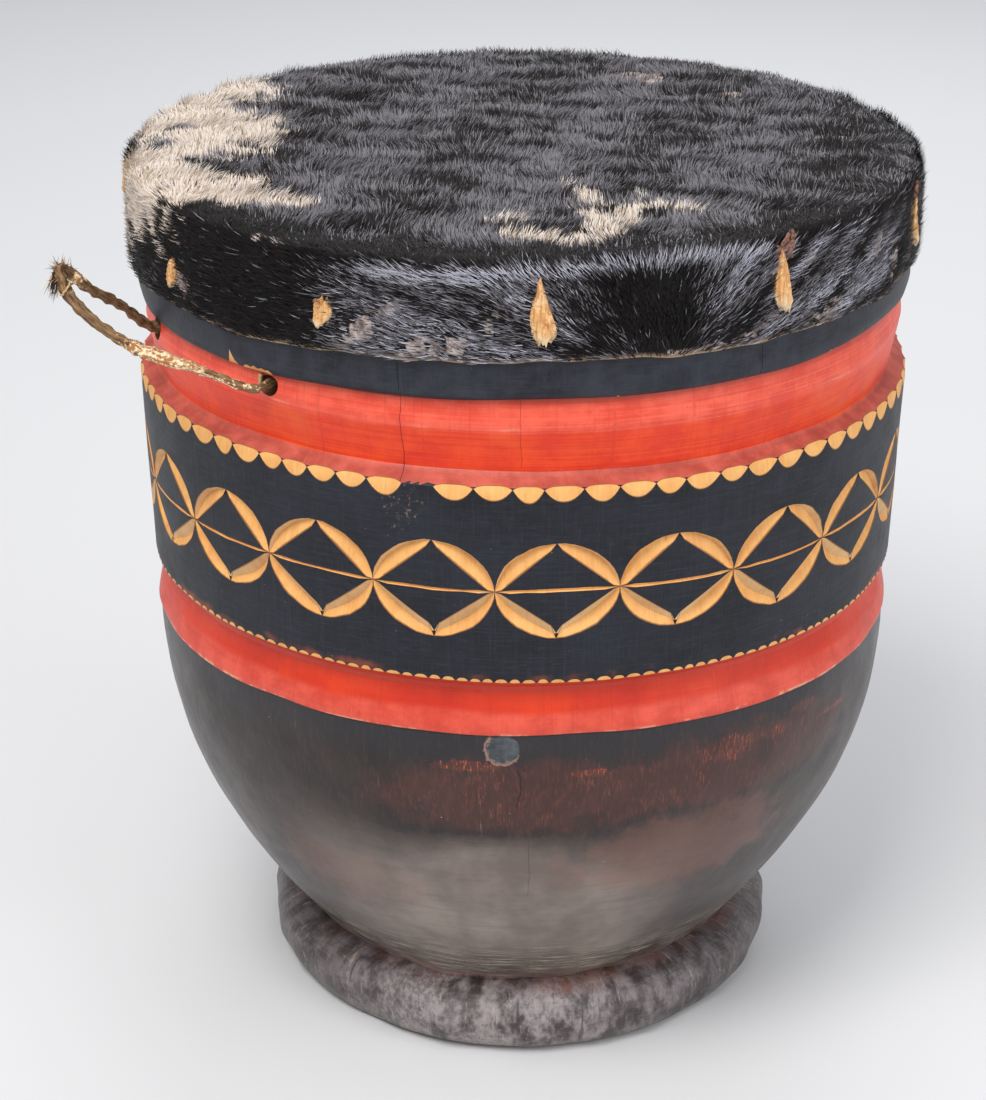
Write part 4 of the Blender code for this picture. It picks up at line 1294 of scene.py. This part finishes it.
# Lie of the hair: away from the front on the top, in waves; on the skirt in a fan from the front's foot.
turn_of = drift(flat_x, flat_y, 60, 20) * 0.75 + drift(flat_x, flat_y, 24, 21) * 0.45
way = np.radians(78) + turn_of
top_flow = np.stack([np.cos(way), np.sin(way), np.zeros(len(x))], 1)
around_way = np.stack([np.cos(hide_bearing), np.sin(hide_bearing), np.zeros(len(x))], 1)
fan = np.clip(along_fan, -1.35, 1.0)
fan = np.where(np.abs(degrees_round) > 78, 0.7 * np.sin(3 * hide_bearing) + 0.3, fan)
skirt_angle = fan + drift(flat_x, flat_y, 30, 23) * 0.22
skirt_flow = around_way * np.sin(skirt_angle)[:, None] + np.array((0, 0, 1.0)) * np.cos(skirt_angle)[:, None]
flow = top_flow * (1 - skirt[:, None]) + skirt_flow * skirt[:, None]
flow /= np.linalg.norm(flow, axis=1)[:, None]
parting = np.clip(drift(flat_x * 0.5, flat_y * 1.7, 30, 30) - 0.25, 0, 1)  # where the coat parts and its roots show
near_rim = ease(hide_reach, 165, 197)
stand = 0.52 + 0.34 * drift(flat_x, flat_y, 11, 31) * (1 - 0.8 * near_rim) - 0.46 * near_rim - 0.06 * skirt
long = 1 + 0.25 * drift(flat_x, flat_y, 34, 33) - 0.35 * parting - 0.34 * near_rim + 0.36 * skirt


def cowhide_skin():
    skin = Finish("cowhide_skin", Specular_IOR_Level=0.25)
    crust = skin.noise(skin.place, 160, 5, 0.7)
    pits = skin.noise(skin.place, 900, 3, 0.6)
    dark = skin.mix(crust, srgb(10, 9, 10), srgb(26, 22, 22))
    pink = skin.mix(crust, srgb(150, 128, 108), srgb(206, 190, 166))
    worn = skin.mix(skin.rise(crust, 0.35, 0.62), srgb(108, 94, 92), srgb(192, 176, 168))
    worn = skin.mix(skin.rise(crust, 0.64, 0.74) * 0.6, worn, srgb(190, 152, 120))
    colour = skin.mix(skin.attribute("white"), dark, pink)
    colour = skin.mix(skin.rise(skin.attribute("bare") + (crust - 0.5) * 0.8, 0.3, 0.55), colour, worn)
    colour = skin.mix(
        skin.attribute("cut_edge"), colour, skin.mix(crust, srgb(120, 100, 84), srgb(188, 160, 128))
    )
    return skin.surface(colour, 0.7 + pits * 0.2, crust * 0.6 + pits * 0.4, 0.0009)


hide = piece_from("cowhide_head", hide_points, hide_faces, cowhide_skin())
hide.data.shade_smooth()
hide.data.set_sharp_from_angle(angle=math.radians(50))
ring_of = np.concatenate([[0], np.repeat(np.arange(len(rings)), HIDE_ROUNDS), [len(rings)]])
keep_on_points(hide, "white", white)
keep_on_points(hide, "bare", bare)
keep_on_points(hide, "cut_edge", ((ring_of >= outside_count - 1) & (ring_of <= outside_count)).astype(float))
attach(hide, "drum")
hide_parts("drumhead")

# ---------------------------------------------------------------------------------------------------------
# The coat: short cow hair, each hair a flat bent blade that stands up off the skin and bows over.
coat_ground = piece_from(
    "coat_ground", hide_points[:outer_points], [f for f in hide_faces if max(f) < outer_points]
)
coat_ground.data.shade_smooth()
coat_maps = {
    "white": white, "bare": bare, "sheen": sheen, "silver": silver, "flow": flow, "stand": stand,
    "long": long,
    "parting": parting, "quarter": np.floor((hide_bearing + math.pi) / (2 * math.pi) * 3.9999),
}
for name, values in coat_maps.items():
    keep_on_points(coat_ground, name, values[:outer_points])
blade_points, blade_faces = [], []
for share, half, lift in ((0.0, 0.5, 0.0), (0.5, 0.42, 0.16), (1.0, 0.06, 0.12)):
    blade_points += [(-half, share, lift), (half, share, lift)]
blade_faces = [(0, 1, 3, 2), (2, 3, 5, 4)]
blade = piece_from("hair_blade", blade_points, blade_faces)
blade.hide_render = True

# Hair colours. The grey, glint and half-sheen hairs are painted sheen, put where the coat catches the light.
HAIRS = [
    ("black_hair", srgb(7, 5, 6), 0.5), ("brown_black_hair", srgb(30, 19, 18), 0.5),
    ("grey_hair", srgb(122, 119, 125), 0.38),
    ("silver_hair", srgb(188, 188, 200), 0.34), ("white_hair", srgb(226, 214, 204), 0.5),
    ("cream_hair", srgb(190, 170, 146), 0.5),
    ("dull_hair", srgb(58, 53, 57), 0.44),
]
hair_finishes = []
for name, colour, rough in HAIRS:
    hair_finishes.append(Finish(name, Specular_IOR_Level=0.22, Roughness=rough, Base_Color=colour).material)
blade.data.materials.append(hair_finishes[0])


def coat_tree():
    group = bpy.data.node_groups.new("coat_of_hair", "GeometryNodeTree")
    sockets = (("Skin", "NodeSocketGeometry"), ("Quarter", "NodeSocketInt"), ("Hairs per square metre", "NodeSocketFloat"),
               ("Hair length", "NodeSocketFloat"), ("Hair width", "NodeSocketFloat"),
               ("Seed", "NodeSocketInt"))
    for name, kind in sockets:
        group.interface.new_socket(name, in_out="INPUT", socket_type=kind)
    group.interface.new_socket("Coat", in_out="OUTPUT", socket_type="NodeSocketGeometry")
    tree = Tree(group)
    given = group.nodes.new("NodeGroupInput")
    skin, quarter, density, length, width, seed = (Wire(tree, given.outputs[i]) for i in range(6))

    def kept(name, kind="FLOAT"):
        return tree.node("GeometryNodeInputNamedAttribute", {"data_type": kind}, {"Name": name})

    def chance(low, high, salt):
        sockets = {2: low, 3: high, "Seed": seed + salt}
        return tree.node("FunctionNodeRandomValue", {"data_type": "FLOAT"}, sockets, 1)

    def vector(operation, first, second):
        kind = "Scale" if operation == "SCALE" else 1
        return tree.node("ShaderNodeVectorMath", {"operation": operation}, {0: first, kind: second})

    this_quarter = quarter.math("COMPARE", kept("quarter"), quarter, 0.5)
    amount = density * (1.0 - kept("bare") * 0.93) * (1.0 - kept("parting") * 0.3)
    spread = {"Mesh": skin, "Selection": this_quarter, "Density": amount, "Seed": seed}
    roots = tree.node("GeometryNodeDistributePointsOnFaces", {"distribute_method": "RANDOM"}, spread)
    normal = Wire(tree, roots.socket.node.outputs["Normal"])
    jitter = tree.node(
        "FunctionNodeRandomValue", {"data_type": "FLOAT_VECTOR"},
        {0: (-0.22,) * 3, 1: (0.22,) * 3, "Seed": seed}, 0
    )
    lean = vector("ADD", kept("flow", "FLOAT_VECTOR"), jitter)
    lean = vector("ADD", lean, vector("SCALE", normal, kept("stand") + chance(-0.25, 0.4, 5)))
    turned = tree.node(
        "FunctionNodeAxesToRotation", {"primary_axis": "Y", "secondary_axis": "Z"}, {0: lean, 1: normal}
    )
    size = tree.node(
        "ShaderNodeCombineXYZ", {},
        {0: width * chance(0.7, 1.3, 9), 1: length * kept("long") * chance(0.6, 1.25, 2), 2: length * kept("long")}
    )
    blades = tree.node("GeometryNodeObjectInfo", {}, {"Object": blade}, "Geometry")
    hairs = tree.node(
        "GeometryNodeInstanceOnPoints", {},
        {"Points": roots, "Instance": blades, "Rotation": turned, "Scale": size}
    )
    pick, light = chance(0.0, 1.0, 31), chance(0.0, 1.0, 47)
    # Hairs in the painted sheen are grey or glinting, those near it a half-sheen grey; the rest black or brown-black,
    # and white or cream in the white patches.
    is_white = pick < kept("white") * 0.96
    is_bright = light < kept("sheen")
    near_sheen = light < kept("sheen") * 1.9
    dark = near_sheen * 6.0 + (1.0 - near_sheen) * (pick > 0.7)
    glinting = 2.0 + (chance(0.0, 1.0, 53) < kept("silver"))
    choice = is_white * (4.0 + (light > 0.72)) + (1.0 - is_white) * (
        is_bright * glinting + (1.0 - is_bright) * dark
    )
    hairs = tree.node(
        "GeometryNodeStoreNamedAttribute", {"data_type": "FLOAT", "domain": "INSTANCE"},
        {"Geometry": hairs, "Name": "colour_number", "Value": choice}
    )
    coat = tree.node("GeometryNodeRealizeInstances", {}, {0: hairs})
    for number, finish in enumerate(hair_finishes):
        chosen = choice.math("COMPARE", kept("colour_number"), float(number), 0.5)
        coat = tree.node(
            "GeometryNodeSetMaterial", {}, {"Geometry": coat, "Selection": chosen, "Material": finish}
        )
    leave = group.nodes.new("NodeGroupOutput")
    group.links.new(coat.socket, leave.inputs[0])
    return group


coat_group = coat_tree()
coat_inputs = {
    item.name: item.identifier for item in coat_group.interface.items_tree if item.item_type == "SOCKET"
}
COAT = {"Hairs per square metre": 980000.0, "Hair length": 0.0058, "Hair width": 0.00040}
for number, name in enumerate(("hair_back_left", "hair_front_left", "hair_front_right", "hair_back_right")):
    growing = coat_ground.modifiers.new("coat", "NODES")
    growing.node_group = coat_group
    for label, value in {**COAT, "Quarter": number, "Seed": 40 + number}.items():
        growing[coat_inputs[label]] = value
    grown = coat_ground.evaluated_get(bpy.context.evaluated_depsgraph_get())
    hair_mesh = bpy.data.meshes.new_from_object(grown)
    coat_ground.modifiers.remove(growing)
    hair_mesh.name = name
    coat = bpy.data.objects.new(name, hair_mesh)
    bpy.context.scene.collection.objects.link(coat)
    for used_name in ("colour_number", *coat_maps):
        if used_name in hair_mesh.attributes:
            hair_mesh.attributes.remove(hair_mesh.attributes[used_name])
    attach(coat, "drum")
for helper in (coat_ground, blade):
    bpy.data.objects.remove(helper)

# ---------------------------------------------------------------------------------------------------------
# Pegs: slivers of pale softwood, split with a knife, driven through the hide into the log and snapped off.
# Most are thin at the top and burst into splinters at the lower end, where the mallet struck them.
PEG_GRID = (9, 26)
PEG_DEPTH = 0.0165
random_pegs = np.random.default_rng(8)


def peg_wood():
    wood = Finish("split_peg_wood", Specular_IOR_Level=0.3)
    fibres = wood.noise(wood.stretch(wood.place, 900, 900, 70), 1.0, 4, 0.6)
    blotch = wood.noise(wood.place, 210, 4, 0.6)
    colour = wood.mix(wood.rise(fibres, 0.3, 0.7), srgb(196, 134, 78), srgb(242, 192, 132))
    colour = wood.mix(wood.rise(blotch, 0.52, 0.7) * 0.7, colour, srgb(252, 224, 176))
    colour = wood.mix(wood.rise(blotch, 0.46, 0.34) * 0.6, colour, srgb(150, 92, 50))
    colour = wood.mix(
        wood.attribute("bruised"), colour, wood.mix(fibres, srgb(206, 172, 128), srgb(248, 232, 198))
    )
    return wood.surface(colour, 0.6 + fibres * 0.2, fibres, 0.0006)


def slab_faces(rows, columns, flipped=False):
    """Faces of a slab: its front's grid of points, the same grid at its back, and the border between."""
    count = rows * columns
    faces = []
    for i in range(rows - 1):
        for j in range(columns - 1):
            a = i * columns + j
            front = (a, a + columns, a + columns + 1, a + 1)
            back = (count + a, count + a + 1, count + a + columns + 1, count + a + columns)
            faces += [(f[0], *f[:0:-1]) if flipped else f for f in (front, back)]
    border = [*range(columns), *[i * columns + columns - 1 for i in range(1, rows)]]
    border += [*range(count - 2, count - columns - 1, -1), *[i * columns for i in range(rows - 2, 0, -1)]]
    for a, b in zip(border, border[1:] + border[:1]):
        faces.append((b, a, count + a, count + b) if flipped else (a, b, count + b, count + a))
    return faces


# Width at the widest, lean of the top in millimetres, and how far the lower end stands further out.
PEG_SHAPES = {
    "peg_01": (0.0112, -2.4, 1.6), "peg_02": (0.0098, -3.2, 1.8), "peg_03": (0.0075, -1.2, 1.6),
    "peg_10": (0.0085, 0.5, 1.0),
    "peg_11": (0.0070, 1.6, 0.8), "peg_12": (0.0098, 1.2, 0.6),
}
wood = peg_wood()
for name, (bearing, height, tall) in pegs.items():
    width, lean, kick = PEG_SHAPES.get(
        name,
        (random_pegs.uniform(0.0075, 0.0095), random_pegs.uniform(-2, 2), random_pegs.uniform(0.5, 1.5))
    )
    columns, rows = PEG_GRID
    out, side = outwards(bearing), Vector((math.cos(bearing), math.sin(bearing), 0))
    ragged_top = random_pegs.normal(0, 1, columns)
    ragged_low = random_pegs.normal(0, 1, columns)
    ridges = random_pegs.normal(0, 1, columns)
    front = []
    bruised = []
    for i in range(rows):
        share = i / (rows - 1)  # 0 at the top, 1 at the lower end
        squat = tall < 0.018
        breadth = (
            (0.55 + 0.45 * math.sin(math.pi * min(1, share * 1.1) * 0.9)) if squat
            else 0.22 + 0.78 * float(ease(share, 0.0, 0.75))
        )
        breadth *= 1 - 0.45 * float(ease(share, 0.86, 1.0))
        wander = 0.0004 * math.sin(share * 9 + bearing * 7)
        for j in range(columns):
            t = 2 * j / (columns - 1) - 1
            rag = (
                ragged_top[j] * 0.0011 * float(ease(share, 0.2, 0))
                - ragged_low[j] * 0.0012 * float(ease(share, 0.8, 1))
            )
            up = height + tall * (0.5 - share) * 0.98 + rag
            across = t * width / 2 * breadth + lean / 1000 * (0.5 - share) + wander
            rim = (1 - t * t) ** 0.5
            stand_out = (
                0.0006 + 0.0022 * rim + kick / 1000 * float(ease(share, 0.35, 0.95)) * (0.4 + 0.6 * rim)
            )
            stand_out += (
                0.00032 * ridges[j] + 0.00025 * math.sin(share * 31 + j * 1.9)
                + random_pegs.normal(0, 0.00009)
            )
            stand_out -= 0.0016 * float(ease(share, 0.12, 0.0)) + 0.0006 * float(ease(share, 0.93, 1.0))
            front.append(out * (HIDE_OUT / 1000 + stand_out) + side * across + Vector((0, 0, up)))
            bruised.append(float(ease(share + 0.08 * ridges[j], 0.80, 0.95)) * 0.85)
    back = []
    for i in range(rows):
        for j in range(columns):
            point = front[i * columns + j]
            middle = out * (HIDE_OUT / 1000) + Vector((0, 0, height))
            off = point - middle
            off -= out * off.dot(out)
            back.append(out * (HIDE_OUT / 1000 - PEG_DEPTH) + Vector((0, 0, height)) + off * 0.6)
    peg = piece_from("wood_" + name, front + back, slab_faces(rows, columns), wood)
    peg.data.shade_smooth()
    peg.data.set_sharp_from_angle(angle=math.radians(35))
    keep_on_points(peg, "bruised", bruised + bruised)
    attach(peg, "drum")
    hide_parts(name)

# Driving the pegs tore small flaps of hide, which dried and curled at the pegs' upper ends.
FLAP_GRID = (9, 7)
FLAPS = [
    ("peg_02", 0.0088, 0.0120, 9.5, 10.5), ("peg_03", 0.0040, 0.0100, 8.0, -8.0),
    ("peg_12", 0.0055, 0.0040, 2.5, -24.0)
]
flap_skin = Finish("torn_hide", Roughness=0.72, Specular_IOR_Level=0.3)
flap_crust = flap_skin.noise(flap_skin.place, 520, 4, 0.65)
flap_finish = flap_skin.surface(
    flap_skin.mix(flap_skin.rise(flap_crust, 0.35, 0.66), srgb(74, 50, 44), srgb(170, 122, 104)), None,
    flap_crust, 0.0008
)
for name, width, tall, rise_mm, turn_deg in FLAPS:
    bearing, height, _ = pegs[name]
    out, side = outwards(bearing), Vector((math.cos(bearing), math.sin(bearing), 0))
    front = []
    rows, columns = FLAP_GRID
    for i in range(rows):
        share = i / (rows - 1)
        for j in range(columns):
            t = j / 3 - 1
            edge = 1 + 0.16 * math.sin(7 * t + len(name) + share * 5) + 0.1 * random_pegs.normal()
            across = t * width / 2 * (1 - 0.35 * share) * (edge if abs(t) > 0.9 else 1)
            up = (share * tall) * (edge if i == rows - 1 else 1) + height + rise_mm / 1000 - 0.001
            curl = 0.0006 + 0.0022 * share**1.5 + 0.0009 * t * t
            across += math.sin(math.radians(turn_deg)) * share * tall
            front.append(out * (HIDE_OUT / 1000 + curl) + side * across + Vector((0, 0, up)))
    back = [p - out * 0.0012 for p in front]
    flap = piece_from(
        "hide_flap_" + name[-2:], front + back, slab_faces(*FLAP_GRID, flipped=True), flap_finish
    )
    flap.data.shade_smooth()
    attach(flap, "drum")

# ---------------------------------------------------------------------------------------------------------
# The floor and the studio's soft lamps.
floor_finish = Finish("studio_floor", Roughness=0.9, Base_Color=(0.74, 0.74, 0.75, 1.0))
floor = piece_from(
    "floor", [(-6, -6, 0), (6, -6, 0), (6, 6, 0), (-6, 6, 0)], [(0, 1, 2, 3)], floor_finish.material
)
LAMPS = [
    ("key", (-0.7, -1.3, 2.5), 1.3, 53.0, (1.0, 0.985, 0.965)),
    ("fill", (2.0, -1.3, 1.3), 1.6, 19.0, (0.95, 0.97, 1.0)),
    ("back", (0.4, 2.0, 1.9), 1.6, 18.0, (0.97, 0.98, 1.0)),
]
for lamp_name, place, size, power, colour in LAMPS:
    lamp_data = bpy.data.lights.new(lamp_name, "AREA")
    lamp_data.size, lamp_data.energy, lamp_data.color = size, power, colour
    lamp = bpy.data.objects.new(lamp_name, lamp_data)
    lamp.location = place
    lamp.rotation_euler = (Vector((0, 0, 0.25)) - Vector(place)).to_track_quat("-Z", "Y").to_euler()
    bpy.context.scene.collection.objects.link(lamp)
world = bpy.data.worlds.new("studio")
world.use_nodes = True
world.node_tree.nodes["Background"].inputs["Color"].default_value = (0.95, 0.97, 1.0, 1.0)
world.node_tree.nodes["Background"].inputs["Strength"].default_value = 0.54
bpy.context.scene.world = world
bpy.context.scene.view_settings.view_transform = "Standard"
